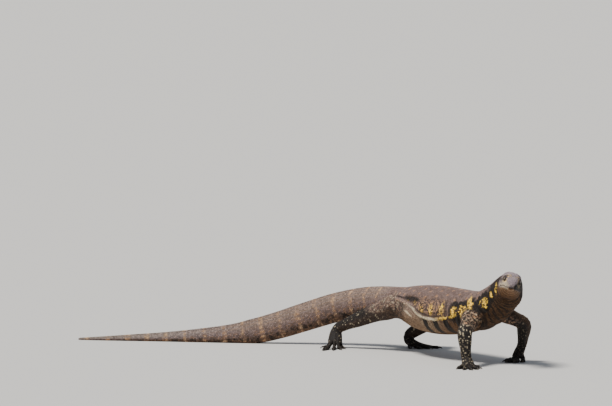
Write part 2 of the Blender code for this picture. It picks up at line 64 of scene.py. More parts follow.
# Axis of the body from the tip of the tail to the back of the head.
# Each row: x, y, height of the axis, half width, height of the back over it, depth of the belly.
TAIL = [
    (-570.0, -468.7, 1.6, 1.4, 2.1, 1.9),
    (-526.3, -422.0, 3.9, 3.0, 4.5, 4.2),
    (-494.3, -383.0, 5.8, 4.1, 6.4, 6.1),
    (-457.3, -339.7, 7.9, 5.4, 8.6, 8.2),
    (-395.4, -270.0, 12.7, 8.0, 13.8, 13.1),
    (-345.5, -212.6, 18.4, 11.0, 19.6, 18.9),
    (-322.5, -185.1, 23.1, 12.8, 24.0, 23.6),
    (-283.7, -142.8, 37.5, 15.2, 26.3, 25.5),
    (-250.1, -109.5, 53.0, 17.0, 27.3, 26.5),
    (-188.1, -51.9, 79.3, 20.0, 28.6, 27.5),
    (-137.0, -21.5, 91.5, 22.0, 30.0, 28.5),
    (-87.0, -8.0, 97.0, 24.0, 31.0, 29.5),
]
TRUNK = [
    (-37.0, -1.0, 99.6, 27.0, 32.5, 31.5),
    (0.0, 0.0, 100.5, 35.0, 35.0, 35.0),
    (35.0, -1.5, 99.8, 43.0, 40.5, 40.0),
    (80.0, -3.2, 98.8, 52.5, 46.5, 46.0),
    (145.0, -3.8, 98.6, 57.5, 49.5, 49.5),
    (215.0, -1.5, 100.5, 54.0, 46.5, 46.0),
    (262.0, 2.0, 104.5, 48.0, 42.0, 40.0),
    (290.0, 5.5, 109.5, 43.0, 39.0, 37.0),
]
# The neck leaves the shoulders along this yaw and pitch. Each row: share of the way to the head, sizes.
NECK_LEAVES = (13.0, 24.0)
NECK = [
    (0.33, 35.5, 31.0, 40.0),
    (0.68, 29.0, 24.5, 38.0),
    (1.00, 22.6, 23.8, 28.5),
]
NAPE_HEIGHT = 5.1
KEEL_SHARE = 0.13
KEEL_ANGLE = 0.42
NECK_AFTER_SHOULDERS = 36.0

# The head, from its snout: tip of the snout, yaw, pitch, and roll with the left side down
SNOUT = (460.6, -30.6, 169.5)
HEAD_YAW = -30.0
HEAD_PITCH = 3.0
HEAD_ROLL = -15.0
HEAD_LENGTH = 85.0
# Each row: distance behind the snout, top, half width of the flat top, half width at the lips,
# height of the line of the mouth, underside
HEAD = [
    (0.0, 2.4, 1.0, 1.6, 0.2, -1.4),
    (0.7, 5.2, 2.2, 3.6, 0.1, -2.8),
    (2.2, 8.6, 3.4, 6.0, 0.0, -4.2),
    (5.0, 12.6, 5.2, 8.6, -0.2, -6.0),
    (10.0, 15.7, 7.4, 10.4, -0.5, -7.6),
    (20.0, 18.4, 9.4, 12.2, 0.3, -9.2),
    (29.0, 20.8, 11.4, 14.2, 0.5, -11.0),
    (37.0, 24.4, 13.8, 16.4, 0.1, -13.0),
    (46.0, 26.0, 13.8, 18.4, -0.8, -15.5),
    (56.0, 27.2, 13.2, 20.6, -2.1, -18.5),
    (66.0, 27.9, 13.4, 22.0, -3.2, -21.0),
    (76.0, 28.3, 14.6, 22.5, -3.5, -22.6),
    (85.0, 28.8, 15.8, 22.6, -3.5, -23.4),
]
HEAD_POINTS = 22
MOUTH_CORNER = 60.0
# Places on the head: distance behind the snout, from the middle, above the line of the mouth
EYE_AT = (37.5, 12.8, 15.0)
EYE_RADIUS = 5.6
LID_THICKNESS = 1.1
LID_RADIUS = EYE_RADIUS + GAP + LID_THICKNESS
LID_SHAPE = np.array((1.08, 0.98, 1.0))
EYE_OPENING = (4.9, 3.8)
NOSTRIL_AT = (20.0, 11.6, 12.0)
NOSTRIL_SIZE = (2.0, 1.6, 1.3)
EAR_AT = (78.0, 22.2, 6.5)
EAR_SIZE = (2.6, 3.2, 4.8)

# Limbs. Each leaves the spine at a place on it, and its bones are (length, yaw, pitch):
# the girdle, the upper limb, the lower limb and the palm or sole. Its bends are the radii of the
# arcs that join them.
# The forms are half sizes along a limb, as (bone and share of it, thick, wide).
ARM_FORM = [
    (0.0, 26, 27), (1.0, 20.5, 21.5), (1.4, 16.5, 17.0), (1.75, 14.0, 14.5),
    (2.0, 14.5, 14.5), (2.3, 14.0, 13.5), (2.7, 10.8, 10.5), (3.0, 8.5, 10.0),
    (3.45, 6.6, 12.0), (4.0, 5.2, 13.0),
]
LEG_FORM = [
    (0.0, 30, 31), (1.0, 24, 26), (1.35, 20.5, 22.5), (1.75, 17.5, 18.0),
    (2.0, 17.0, 17.0), (2.3, 16.5, 15.5), (2.7, 12.8, 11.8), (3.0, 10.2, 11.0),
    (3.45, 7.8, 13.5), (4.0, 5.8, 15.5),
]
# Each digit: length without the claw, spread from the palm's yaw to the outer side, root on the palm
HAND = dict(
    names=("hand", "claw_hand"),
    radius=3.9,
    digits=[(17, -46, 0.66), (24, -22, 0.86), (28, -2, 0.92), (27, 18, 0.84), (19, 44, 0.62)],
)
FOOT = dict(
    names=("foot", "claw_foot"),
    radius=4.3,
    digits=[(20, -40, 0.66), (30, -20, 0.84), (40, -3, 0.92), (52, 13, 0.84), (27, 66, 0.35)],
)
LIMBS = {
    "arm_right": dict(
        root=(302, -4, 100), side=-1, form=ARM_FORM, tip=HAND,
        bones=((23.5, -90, -11), (64, -46, -22.5), (54, -10, -76), (28, -22, -28)),
        bends=(14, 16, 11),
    ),
    "arm_left": dict(
        root=(292, 18, 111), side=1, form=ARM_FORM, tip=HAND,
        bones=((22.5, 90, -12), (62, 60, -25), (55, 161, -60), (30, -70, -55)),
        bends=(14, 16, 11),
    ),
    "leg_right": dict(
        root=(0, -10, 99), side=-1, form=LEG_FORM, tip=FOOT,
        bones=((17, -90, -5), (83, 196.5, -18), (87, 207, -21.5), (38, -38, -52)),
        bends=(13, 20, 13),
    ),
    "leg_left": dict(
        root=(0, 10, 99), side=1, form=LEG_FORM, tip=FOOT,
        bones=((17, 90, -5), (82, 122, -23), (86, 222, -34), (38, 20, -16)),
        bends=(13, 23, 12),
    ),
}
DIGIT_TAPER = 0.72
DIGIT_FLAT = 0.55
CLAW_LENGTH = 11.0
CLAW_SIZE = (1.7, 2.3)

# Points round one ring of the trunk, a limb, a digit, an eye and a claw
SKIN_SIDES = 144
LIMB_SIDES = 52
DIGIT_SIDES = 20
EYE_SIDES = 56
CLAW_SIDES = 16

# Length along the body and width round it of one scale, on each region
TAIL_TIP_SCALE = (2.0, 1.45)
TAIL_SCALE = (3.3, 2.35)
TORSO_SCALE = (3.0, 2.35)
NECK_SCALE = (2.5, 2.0)
HEAD_SCALE = (1.75, 1.6)
LIMB_SCALE = (2.5, 2.05)
DIGIT_SCALE = (1.8, 1.9)
LID_SCALE = 0.95
# Spacing of the rows at a limb's root, as a share of the rest
CLOSE_ROWS = 0.42

# Rows of spots on the back and bands on the tail: spacing, and where one lies ahead of the hips
SPOT_ROWS = (33.0, 22.0)
TAIL_BANDS = (42.0, -250.0)
# Ahead of the hips: the hollow over the flank, which holds a painted shadow, and from where on the yellow
# blotches lie on the right side only, the left being kept dark as painted shade
HOLLOW = 104
RIGHT_ONLY = 380
# Yellow blotches of the flank: ahead of the hips, turn from the top, half length, half height, how solid
BLOTCHES = [
    (188, 85, 5, 14, 0.28), (224, 78, 6, 19, 0.42), (257, 88, 7.5, 14, 0.62), (283, 88, 11.5, 16, 0.68),
    (299, 66, 6.5, 28, 0.72), (329, 97, 10.5, 15, 0.6), (356, 103, 6, 10, 0.6), (389, 111, 6, 22, 0.4),
]
# The marks that the skin and the coat carry: three drawn over the ground, and three grounds: tan, a belly tan
# that is also painted shade of the undersides, and a lavender-grey painted as sky sheen on the tops
MARKS = ("dark", "gold", "pale", "tan", "warm", "cool")

# The photograph's frame: pixels, pixels to a metre at the animal, the camera's turn from the animal's
# right side and its height in degrees, and the point in the picture's middle
PICTURE = (612, 406)
PIXELS_PER_METRE = 482.0
CAMERA_WAY = (60.0, 4.5)
CAMERA_AIM = (-105.8, -183.3, 309.7)
# In metres: how far off the camera stands, and half a side of the floor's sheet
CAMERA_DISTANCE = 18.0
FLOOR = 80.0


def smooth(low, high, value):
    """0 below low, 1 above high, and an S curve between them."""
    t = np.clip((value - low) / (high - low), 0, 1)
    return t * t * (3 - 2 * t)


def bump(distance, size):
    """A bell, 1 at no distance and about a third at one size."""
    return np.exp(-((distance / size) ** 2))


def fade(low, high, value):
    """1 below low, 0 above high, and an S curve between them."""
    return 1 - smooth(low, high, value)


def between(value, start, full, last, end):
    """0 up to start, 1 from full to last, and 0 again from end on."""
    return smooth(start, full, value) * fade(last, end, value)


def wave(value, length):
    """A sine of this wavelength."""
    return np.sin(2 * math.pi * value / length)


def angles(count):
    """Angles evenly round a circle."""
    return np.arange(count) * 2 * math.pi / count


def sphere(polar, angle):
    """Points of a unit sphere: sin polar cos angle, sin polar sin angle, cos polar."""
    across = np.sin(polar)
    return np.stack([across * np.cos(angle), across * np.sin(angle), np.cos(polar) + 0 * angle], axis=2)


def hermite(knots, values, slope, at):
    """Cubic through the values at the knots, with the slope given at each."""
    i = np.clip(np.searchsorted(knots, at, side="right") - 1, 0, len(knots) - 2)
    step = (knots[i + 1] - knots[i])[:, None]
    t = np.clip((at - knots[i])[:, None] / step, 0, 1)
    return (
        (1 + 2 * t) * (1 - t) ** 2 * values[i]
        + t * (1 - t) ** 2 * step * slope[i]
        + t * t * (3 - 2 * t) * values[i + 1]
        + t * t * (t - 1) * step * slope[i + 1]
    )


def table(rows, at):
    """Columns of a table read between its rows. Its slopes are harmonic means, so it never overshoots."""
    rows = np.asarray(rows, float)
    knots, values = rows[:, 0], rows[:, 1:]
    chord = np.diff(values, axis=0) / np.diff(knots)[:, None]
    left, right = chord[:-1], chord[1:]
    same = left * right > 0
    mean = np.where(same, 2 * left * right / np.where(same, left + right, 1), 0)
    slope = np.vstack([chord[:1], mean, chord[-1:]])
    return hermite(knots, values, slope, np.atleast_1d(np.asarray(at, float)))


def unit(vectors):
    """Vectors brought to a length of one."""
    return vectors / np.maximum(np.linalg.norm(vectors, axis=-1, keepdims=True), 1e-9)


def heading(yaw, pitch=0.0):
    """Unit vector along a yaw and a pitch in degrees."""
    yaw, pitch = math.radians(yaw), math.radians(pitch)
    level = math.cos(pitch)
    return np.array((math.cos(yaw) * level, math.sin(yaw) * level, math.sin(pitch)))


def turned(left, up, degrees):
    """A frame's left and up turned about its forward: left' = left cos + up sin."""
    c, s = np.cos(np.radians(degrees)), np.sin(np.radians(degrees))
    return left * c + up * s, up * c - left * s


def hashed(cells, seed=0):
    """A fixed random number from -1 to 1 for each row of whole numbers."""
    mixed = (cells * HASH_STEPS[:cells.shape[1]]).sum(axis=1) + seed * 7919
    mixed = (mixed ^ (mixed >> 13)) * 1274126177
    return ((mixed ^ (mixed >> 16)) & 0xFFFF) / 32767.5 - 1


def noise(points, size, seed=0):
    """Random field from -1 to 1: values hashed at the corners of cells of this size, blended by cubics."""
    cells = np.asarray(points, float) / size
    corner = np.floor(cells).astype(np.int64)
    t = cells - corner
    t = t * t * (3 - 2 * t)
    return sum(
        hashed(corner + step, seed) * np.prod(np.where(step, t, 1 - t), axis=1)
        for step in np.ndindex(2, 2, 2)
    )


def spots(along, around, pitch, size, seed=0, jitter=0.32):
    """Distance to the nearest spot over its radius: one spot in each cell, moved and sized at random."""
    cells = np.stack([along / pitch[0], around / pitch[1]], axis=1)
    base = np.floor(cells).astype(np.int64)
    best = np.full(len(cells), 9.0)
    for step in np.ndindex(3, 3):
        cell = base + np.array(step) - 1
        shift = np.stack([hashed(cell, seed + k) for k in (1, 2)], axis=1) * jitter + 0.5
        radius = size * (1 + 0.35 * hashed(cell, seed + 3))
        away = (cells - cell - shift) * pitch
        best = np.minimum(best, np.hypot(away[:, 0], away[:, 1]) / radius)
    return best


class Head:
    """The head's own frame and its sections."""

    def __init__(self):
        self.forward = heading(HEAD_YAW, HEAD_PITCH)
        left = unit(np.cross(UP, self.forward))
        self.left, self.up = turned(left, np.cross(self.forward, left), HEAD_ROLL)
        self.tip = np.array(SNOUT)

    def at(self, behind, across, high):
        """Point in the world of a place on the head."""
        return self.tip - behind * self.forward + across * self.left + high * self.up

    def way(self, forward, left, up):
        """Unit vector from its shares of the head's forward, left and up."""
        return unit(forward * self.forward + left * self.left + up * self.up)

    def place(self, points):
        """Distance behind the snout, to the left and above the snout's line of world points."""
        away = points - self.tip
        return -away @ self.forward, away @ self.left, away @ self.up

    def curve(self, behind, at):
        """Sections through 22 points round the head, read by place among them with a smooth cubic."""
        top, brow, wide, mouth, under = table(HEAD, behind).T
        high, low = top - mouth, mouth - under
        cheek = np.clip((np.asarray(behind) - 40) / 20, 0, 1)
        side = [
            (0 * top, top),
            (0.55 * brow, top - 0.02 * high),
            (brow, top - 0.13 * high),
            (brow + (wide - brow) * (0.42 + 0.3 * cheek), mouth + 0.56 * high),
            (brow + (wide - brow) * (0.86 + 0.1 * cheek), mouth + 0.26 * high),
            (wide, mouth + 0.09 * high),
            (0.985 * wide, mouth + 0.012 * high),
            (0.955 * wide, mouth - 0.10 * low),
            (0.92 * wide, mouth - 0.45 * low),
            (0.66 * wide, mouth - 0.86 * low),
            (0.30 * wide, mouth - 0.99 * low),
            (0 * top, under),
        ]
        half = np.stack([np.stack(pair, axis=1) for pair in side], axis=1)
        closed = np.concatenate([half, half[:, -2:0:-1] * (-1, 1)], axis=1)
        at = np.broadcast_to(at, (len(closed), np.shape(at)[-1]))
        i = np.floor(at).astype(int)
        t = (at - i)[..., None]
        row = np.arange(len(closed))[:, None]
        p = [closed[row, (i + k) % HEAD_POINTS] for k in (-1, 0, 1, 2)]
        return 0.5 * (
            2 * p[1] + (p[2] - p[0]) * t
            + (2 * p[0] - 5 * p[1] + 4 * p[2] - p[3]) * t * t
            + (3 * p[1] - p[0] - 3 * p[2] + p[3]) * t ** 3
        )

    def rings(self, behind, share, evenly=False):
        """Rings at these distances. Columns are close at the lips, and even round the nape."""
        behind = np.atleast_1d(np.asarray(behind, float))
        share = np.broadcast_to(share, (len(behind), np.shape(share)[-1]))
        fine = np.linspace(0, HEAD_POINTS, 221)
        curve = self.curve(behind, fine)
        length = np.cumsum(np.linalg.norm(np.diff(curve, axis=1), axis=2), axis=1)
        length = np.pad(length / length[:, -1:], ((0, 0), (1, 0)))
        even = np.array([np.interp(s, along, fine) for s, along in zip(share, length)])
        mix = np.ones(len(behind)) if evenly else smooth(50, 82, behind)
        at = mix[:, None] * even + (1 - mix)[:, None] * share * HEAD_POINTS
        section = self.curve(behind, at)
        middle = self.tip - behind[:, None, None] * self.forward
        return middle + section[..., :1] * self.left + section[..., 1:] * self.up

    def beside(self, place, side):
        """Point in the world of a place on one side of the head."""
        return self.at(place[0], side * place[1], place[2])

    def eye_axes(self, side):
        """An eye's centre, and the forward, upward and outward ways of its opening."""
        out = self.way(0.22, side, 0.10)
        ahead = unit(self.forward - (self.forward @ out) * out)
        return self.beside(EYE_AT, side), (ahead, np.cross(out, ahead) * side, out)

    def nostril(self, side):
        """Centre, and the forward, upward and outward ways of a nostril."""
        out = self.way(0.2, side, 0.45)
        ahead = unit(self.forward - (self.forward @ out) * out)
        return self.beside(NOSTRIL_AT, side), (ahead, np.cross(out, ahead), out)


class Spine:
    """The body's axis as a cubic through the rows of the tables, read by length along it."""

    def __init__(self, head):
        nape = head.at(HEAD_LENGTH, 0, NAPE_HEIGHT)
        rows = np.array(TAIL + TRUNK, float)
        points = np.vstack([rows[:, :3], nape])
        knots = np.append(0, np.cumsum(np.linalg.norm(np.diff(points, axis=0), axis=1)))
        chord = np.diff(points, axis=0) / np.diff(knots)[:, None]
        span = np.diff(knots)[:, None]
        slope = (chord[:-1] * span[1:] + chord[1:] * span[:-1]) / (span[1:] + span[:-1])
        slope[-1] = heading(*NECK_LEAVES)
        slope = np.vstack([chord[:1], slope, heading(HEAD_YAW, HEAD_PITCH)])
        self.knots, self.points, self.slope = knots, points, slope
        neck = np.array(NECK)
        neck[:, 0] = knots[-2] + neck[:, 0] * (knots[-1] - knots[-2])
        self.sizes = np.vstack([np.column_stack([knots[:-1], rows[:, 3:]]), neck])
        self.vent = knots[len(TAIL)]
        self.hips = knots[len(TAIL) + 1]
        self.shoulders = knots[len(TAIL) + len(TRUNK) - 1]
        self.neck = self.shoulders + NECK_AFTER_SHOULDERS
        self.end = knots[-1]

    def frame(self, s):
        """Centre, forward, left and up at each length. The neck rolls with the head."""
        s = np.atleast_1d(np.asarray(s, float))
        centre = hermite(self.knots, self.points, self.slope, s)
        ahead = hermite(self.knots, self.points, self.slope, np.minimum(s + 0.05, self.end))
        behind = hermite(self.knots, self.points, self.slope, np.maximum(s - 0.05, 0))
        forward = unit(ahead - behind)
        left = unit(np.cross(UP, forward))
        up = np.cross(forward, left)
        share = np.clip((s - self.shoulders) / (self.end - self.shoulders), 0, 1)
        left, up = turned(left, up, (HEAD_ROLL * share * share * (3 - 2 * share))[:, None])
        return centre, forward, left, up

    def rings(self, s, share):
        """Rings round the axis: an ellipse with a squarer belly, and the tail's keel on top."""
        s = np.atleast_1d(np.asarray(s, float))
        centre, _, left, up = self.frame(s)
        width, above, below = table(self.sizes, s).T[:, :, None]
        angle = np.asarray(share) * 2 * math.pi
        c, n = np.cos(angle), np.sin(angle)
        squarer = np.where(c < 0, 0.88, 1.0)
        across = width * np.sign(n) * np.abs(n) ** squarer
        high = np.where(c > 0, above, below) * np.sign(c) * np.abs(c) ** squarer
        tail = np.clip((self.vent - s) / (0.25 * self.vent), 0, 1)[:, None]
        wrapped = np.minimum(angle % (2 * math.pi), -angle % (2 * math.pi))
        high = high + tail * KEEL_SHARE * above * np.exp(-((wrapped / KEEL_ANGLE) ** 2))
        return centre[:, None] + left[:, None] * across[..., None] + up[:, None] * high[..., None]


class Limb:
    """A limb's axis: its bones joined by arcs, read by bone and share, as 1.5 is half along bone 1."""

    def __init__(self, spec):
        self.spec = spec
        corners = [np.array(spec["root"], float)]
        for length, yaw, pitch in spec["bones"]:
            corners.append(corners[-1] + length * heading(yaw, pitch))
        self.lengths = [bone[0] for bone in spec["bones"]]
        way = unit(np.diff(np.array(corners), axis=0))
        points, places = [corners[0]], [0.0]
        for i, radius in enumerate(spec["bends"]):
            a, b, corner = way[i], way[i + 1], corners[i + 1]
            turn = math.acos(float(np.clip(a @ b, -1, 1)))
            reach = radius * math.tan(turn / 2)
            inward = unit(b - a)
            centre = corner + inward * radius / math.cos(turn / 2)
            t = np.linspace(-1, 1, 61)
            side = unit(a + b)
            arc = np.sin(t * turn / 2)[:, None] * side - np.cos(t * turn / 2)[:, None] * inward
            points += list(centre + radius * arc)
            bone = np.where(t < 0, self.lengths[i], self.lengths[i + 1])
            places += list(i + 1 + t * reach / bone)
        points.append(corners[-1])
        places.append(float(len(self.lengths)))
        self.places, self.points = np.array(places), np.array(points)
        self.yaw = spec["bones"][-1][1]
        self.carry()

    def carry(self):
        """Forward, evened out over the arcs, and left, carried back from the palm's without twisting."""
        fine = np.linspace(0, self.places[-1], 1500)
        points = np.column_stack([np.interp(fine, self.places, p) for p in self.points.T])
        forward = np.pad(unit(np.gradient(points, axis=0)), ((10, 10), (0, 0)), "edge")
        forward = unit(np.column_stack([np.convolve(f, np.ones(21) / 21, "valid") for f in forward.T]))
        left = np.empty_like(points)
        carried = unit(np.cross(UP, heading(self.yaw)))
        for k in range(len(fine) - 1, -1, -1):
            carried = unit(carried - (carried @ forward[k]) * forward[k])
            left[k] = carried
        self.fine, self.fine_points, self.forward, self.left = fine, points, forward, left

    def frame(self, at):
        """Centre, forward, left and up at each place on the limb."""
        at = np.atleast_1d(np.asarray(at, float))

        def read(values):
            return np.column_stack([np.interp(at, self.fine, v) for v in values.T])

        forward = unit(read(self.forward))
        left = read(self.left)
        left = unit(left - (left * forward).sum(axis=1, keepdims=True) * forward)
        return read(self.fine_points), forward, left, np.cross(forward, left)

    def rings(self, at, share, shrink=1.0):
        """Ellipses round the axis."""
        at = np.atleast_1d(np.asarray(at, float))
        centre, _, left, up = self.frame(at)
        thick, wide = table(self.spec["form"], at).T[:, :, None] * shrink
        angle = np.asarray(share) * 2 * math.pi
        across = left[:, None] * (wide * np.sin(angle))[..., None]
        return centre[:, None] + across + up[:, None] * (thick * np.cos(angle))[..., None]

    def digits(self):
        """Each digit's start, yaw and length, and the radius of its root."""
        spec = self.spec
        radius = spec["tip"]["radius"]
        for i, (length, spread, share) in enumerate(spec["tip"]["digits"], 1):
            centre, _, left, _ = self.frame(3 + share)
            wide = table(spec["form"], 3 + share)[0, 1]
            yaw = self.yaw + spec["side"] * spread
            root = centre[0] + left[0] * (i - 3) / 2 * spec["side"] * (wide - radius * 0.9)
            yield i, Digit(root - heading(yaw) * 3.0, yaw, length + 3.0, radius)


class Digit:
    """A digit that comes down from the palm and lies along the floor, with pads and knuckles."""

    def __init__(self, start, yaw, length, radius):
        self.start, self.yaw, self.length, self.radius = start, yaw, length, radius
        self.end = radius * DIGIT_TAPER
        self.drop = max(start[2] - self.end + SINK, 0)
        self.level = math.sqrt(max(length ** 2 - self.drop ** 2, (0.6 * length) ** 2))

    def centre(self, t):
        """The axis: a smooth cubic down from the root with a low arch on it, then level."""
        down = np.clip(1 - t / DIGIT_FLAT, 0, 1)
        arch = 0.35 * self.radius * np.sin(math.pi * np.clip(t / 0.8, 0, 1))
        high = self.end - SINK + self.drop * down ** 2 * (3 - 2 * down) + arch * (1 - down ** 4)
        way = heading(self.yaw)
        return self.start * (1, 1, 0) + (t * self.level)[:, None] * way + high[:, None] * UP

    def rings(self, t, share, shrink=1.0):
        """Rings round the digit: wider at three knuckles, rounded off before the claw."""
        t = np.atleast_1d(np.asarray(t, float))
        centre = self.centre(t)
        size = self.radius * (1 - (1 - DIGIT_TAPER) * t) * shrink
        size = size * (1 + 0.07 * np.cos(2 * math.pi * 2.5 * (t - 0.12)))
        forward = unit(self.centre(t + 0.01) - self.centre(t - 0.01))
        left = unit(np.cross(UP, heading(self.yaw)))
        up = np.cross(forward, left)
        angle = np.asarray(share) * 2 * math.pi
        across = left * (size[:, None] * 0.95 * np.sin(angle))[..., None]
        return centre[:, None] + across + up[:, None] * (size[:, None] * np.cos(angle))[..., None]


class Course:
    """An axis sampled along its length with its half sizes, to find where on the body a point is."""

    def __init__(self, place, centre, left, up, sizes):
        self.place, self.centre, self.left, self.up = place, centre, left, up
        self.wide, self.above, self.below = sizes
        self.way = unit(np.gradient(centre, axis=0))
        self.pace = np.linalg.norm(np.gradient(centre, axis=0), axis=1) / np.gradient(place)
        length = np.linalg.norm(np.diff(centre, axis=0), axis=1)
        self.run = np.append(0, np.cumsum(length))

    def locate(self, points):
        """Place and length along the axis, turn from the top, distance round, distance outside, and rise
        over the axis in half sizes."""
        near = np.empty(len(points), int)
        squares = (self.centre ** 2).sum(axis=1)
        for first in range(0, len(points), POINTS_AT_ONCE):
            part = slice(first, first + POINTS_AT_ONCE)
            near[part] = (squares - 2 * points[part] @ self.centre.T).argmin(axis=1)
        away = points - self.centre[near]
        ahead = (away * self.way[near]).sum(axis=1)
        across = (away * self.left[near]).sum(axis=1) / self.wide[near]
        high = (away * self.up[near]).sum(axis=1)
        high = high / np.where(high > 0, self.above[near], self.below[near])
        turn = np.degrees(np.arctan2(across, high))
        mean = (self.wide[near] + (self.above[near] + self.below[near]) / 2) / 2
        return dict(
            place=self.place[near] + ahead / self.pace[near],
            run=self.run[near] + ahead,
            turn=turn,
            arc=np.radians(turn) * mean,
            outside=(np.hypot(across, high) - 1) * mean,
            rise=away[:, 2] / mean,
        )


def trunk_course(spine, head):
    """The axis from the tip of the tail through the head, with the sizes round it."""
    s = np.linspace(0, spine.end, 420)
    centre, _, left, up = spine.frame(s)
    sizes = table(spine.sizes, s).T
    behind = np.linspace(HEAD_LENGTH - 2.5, 1, 34)
    top, _, wide, _, under = table(HEAD, behind).T
    middle = NAPE_HEIGHT * behind / HEAD_LENGTH
    line = head.at(behind[:, None], 0, middle[:, None])
    return Course(
        np.append(s, spine.end + HEAD_LENGTH - behind),
        np.vstack([centre, line]),
        np.vstack([left, np.tile(head.left, (len(behind), 1))]),
        np.vstack([up, np.tile(head.up, (len(behind), 1))]),
        np.column_stack([sizes, (wide, top - middle, middle - under)]),
    )


def limb_course(limb):
    """A limb's axis from its root to the end of its palm, with the sizes round it."""
    at = np.linspace(0.3, 4, 150)
    centre, _, left, up = limb.frame(at)
    thick, wide = table(limb.spec["form"], at).T
    return Course(at, centre, left, up, (wide, thick, thick))


head = Head()
spine = Spine(head)
limbs = {name: Limb(spec) for name, spec in LIMBS.items()}
trunk_line = trunk_course(spine, head)
limb_lines = {name: limb_course(limb) for name, limb in limbs.items()}

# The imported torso's low corner against the same loft here gives the move between the two frames
torso_cuts = int(round((spine.neck - spine.vent) / 13.0)) + 1
torso_loft = spine.rings(np.linspace(spine.vent, spine.neck, torso_cuts), np.arange(28) / 28)
FRAME_SHIFT = torso_loft.reshape(-1, 3).min(axis=0) * 0.001 - np.array(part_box("torso")[0])


def to_frame(points):
    """Millimetres of the animal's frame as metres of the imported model's."""
    return np.asarray(points) * 0.001 - FRAME_SHIFT


def from_frame(points):
    """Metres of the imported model's frame as millimetres of the animal's."""
    return (np.asarray(points, float) + FRAME_SHIFT) * 1000


def placed(name, data):
    """A new object at the origin, in the scene."""
    obj = bpy.data.objects.new(name, data)
    bpy.context.scene.collection.objects.link(obj)
    return obj


def mesh_object(name, points, faces):
    """An object from points in millimetres of the animal's frame, and a list of faces."""
    mesh = bpy.data.meshes.new(name)
    mesh.from_pydata(to_frame(points).tolist(), [], faces)
    mesh.update()
    return placed(name, mesh)


def positions(mesh):
    """A mesh's points in the animal's frame."""
    points = np.empty(len(mesh.vertices) * 3, np.float32)
    mesh.vertices.foreach_get("co", points)
    return from_frame(points.reshape(-1, 3))


def place_points(mesh, points):
    """Moves a mesh's points to places in the animal's frame."""
    mesh.vertices.foreach_set("co", to_frame(points).astype(np.float32).ravel())
    mesh.update()


def put_number(mesh, name, values):
    """Writes a number for each point of the mesh."""
    layer = mesh.attributes.new(name, "FLOAT", "POINT")
    layer.data.foreach_set("value", np.asarray(values, np.float32))


def shade_smooth(mesh):
    mesh.polygons.foreach_set("use_smooth", [True] * len(mesh.polygons))


def grid(name, rings):
    """A closed solid from rings of points, with a fan of triangles to the middle of each end."""
    count, sides = rings.shape[:2]
    around = np.arange(sides)
    after = np.roll(around, -1)
    row = np.arange(count - 1)[:, None] * sides
    quads = np.stack([around + row, after + row, after + row + sides, around + row + sides], axis=2)
    last = (count - 1) * sides
    start, end = np.full(sides, count * sides), np.full(sides, count * sides + 1)
    faces = quads.reshape(-1, 4).tolist()
    faces += np.stack([start, after, around], axis=1).tolist()
    faces += np.stack([end, around + last, after + last], axis=1).tolist()
    points = np.vstack([rings.reshape(-1, 3), rings[0].mean(axis=0), rings[-1].mean(axis=0)])
    obj = mesh_object(name, points, faces)
    if signed_volume(obj.data) < 0:
        obj.data.flip_normals()
    return obj


def signed_volume(mesh):
    """Sum of the triangles' determinants: six times the volume, below 0 where faces look inward."""
    mesh.calc_loop_triangles()
    corners = np.empty(len(mesh.loop_triangles) * 3, np.int32)
    mesh.loop_triangles.foreach_get("vertices", corners)
    return float(np.linalg.det(positions(mesh)[corners.reshape(-1, 3)]).sum())


def ball(name, centre, axes, sizes, around=40, high=26):
    """An ellipsoid in rings: its centre plus a unit sphere times the sizes, along the axes."""
    polar = np.linspace(0, math.pi, high + 1)[1:-1, None]
    obj = grid(name, np.array(centre) + (sphere(polar, angles(around)) * sizes) @ np.array(axes))
    points = positions(obj.data)
    points[-2:] = np.array(centre) + np.array([(0, 0, sizes[2]), (0, 0, -sizes[2])]) @ np.array(axes)
    place_points(obj.data, points)
    return obj


def combine(target, others, operation):
    """One Boolean of the target with closed meshes, applied. The others are removed."""
    group = bpy.data.collections.new("pieces")
    for other in others:
        group.objects.link(other)
    bpy.context.view_layer.update()
    modifier = target.modifiers.new("combine", "BOOLEAN")
    modifier.operation = operation
    modifier.operand_type = "COLLECTION"
    modifier.collection = group
    modifier.solver = "MANIFOLD"
    with bpy.context.temp_override(object=target, active_object=target):
        bpy.ops.object.modifier_apply(modifier=modifier.name)
    for other in others:
        bpy.data.objects.remove(other)
    bpy.data.collections.remove(group)


def trunk_rings():
    """Rings from the tip of the tail to the snout, closest together on the head."""
    share = np.arange(SKIN_SIDES) / SKIN_SIDES
    spacing_at = (0, 0.4 * spine.vent, spine.vent, spine.shoulders, spine.end)
    steps, place = [], 0.0
    while place < spine.end - 0.8:
        steps.append(place)
        place += float(np.interp(place, spacing_at, (3.4, 4.6, 3.2, 2.6, 1.2)))
    behind = HEAD_LENGTH * np.linspace(1, 0, 104)[:-1] ** 1.25
    return np.concatenate([spine.rings(steps, share), head.rings(np.append(behind, 0.0), share)])


def limb_solids(name, limb):
    """The loft of a limb, rounded off at the palm's end, and the lofts of its digits."""
    share = np.arange(LIMB_SIDES) / LIMB_SIDES
    at = np.append(np.linspace(0.2, 3.88, 100), (3.93, 3.97, 3.995))
    shrink = np.append(np.ones(100), (0.93, 0.8, 0.55))
    yield grid(name, limb.rings(at, share, shrink[:, None]))
    share = np.arange(DIGIT_SIDES) / DIGIT_SIDES
    for i, digit in limb.digits():
        t = np.append(np.linspace(0, 0.97, 26), (0.985, 1.0))
        shrink = np.append(np.ones(26), (0.95, 0.84))
        yield grid(f"{name}_digit_{i}", digit.rings(t, share, shrink))


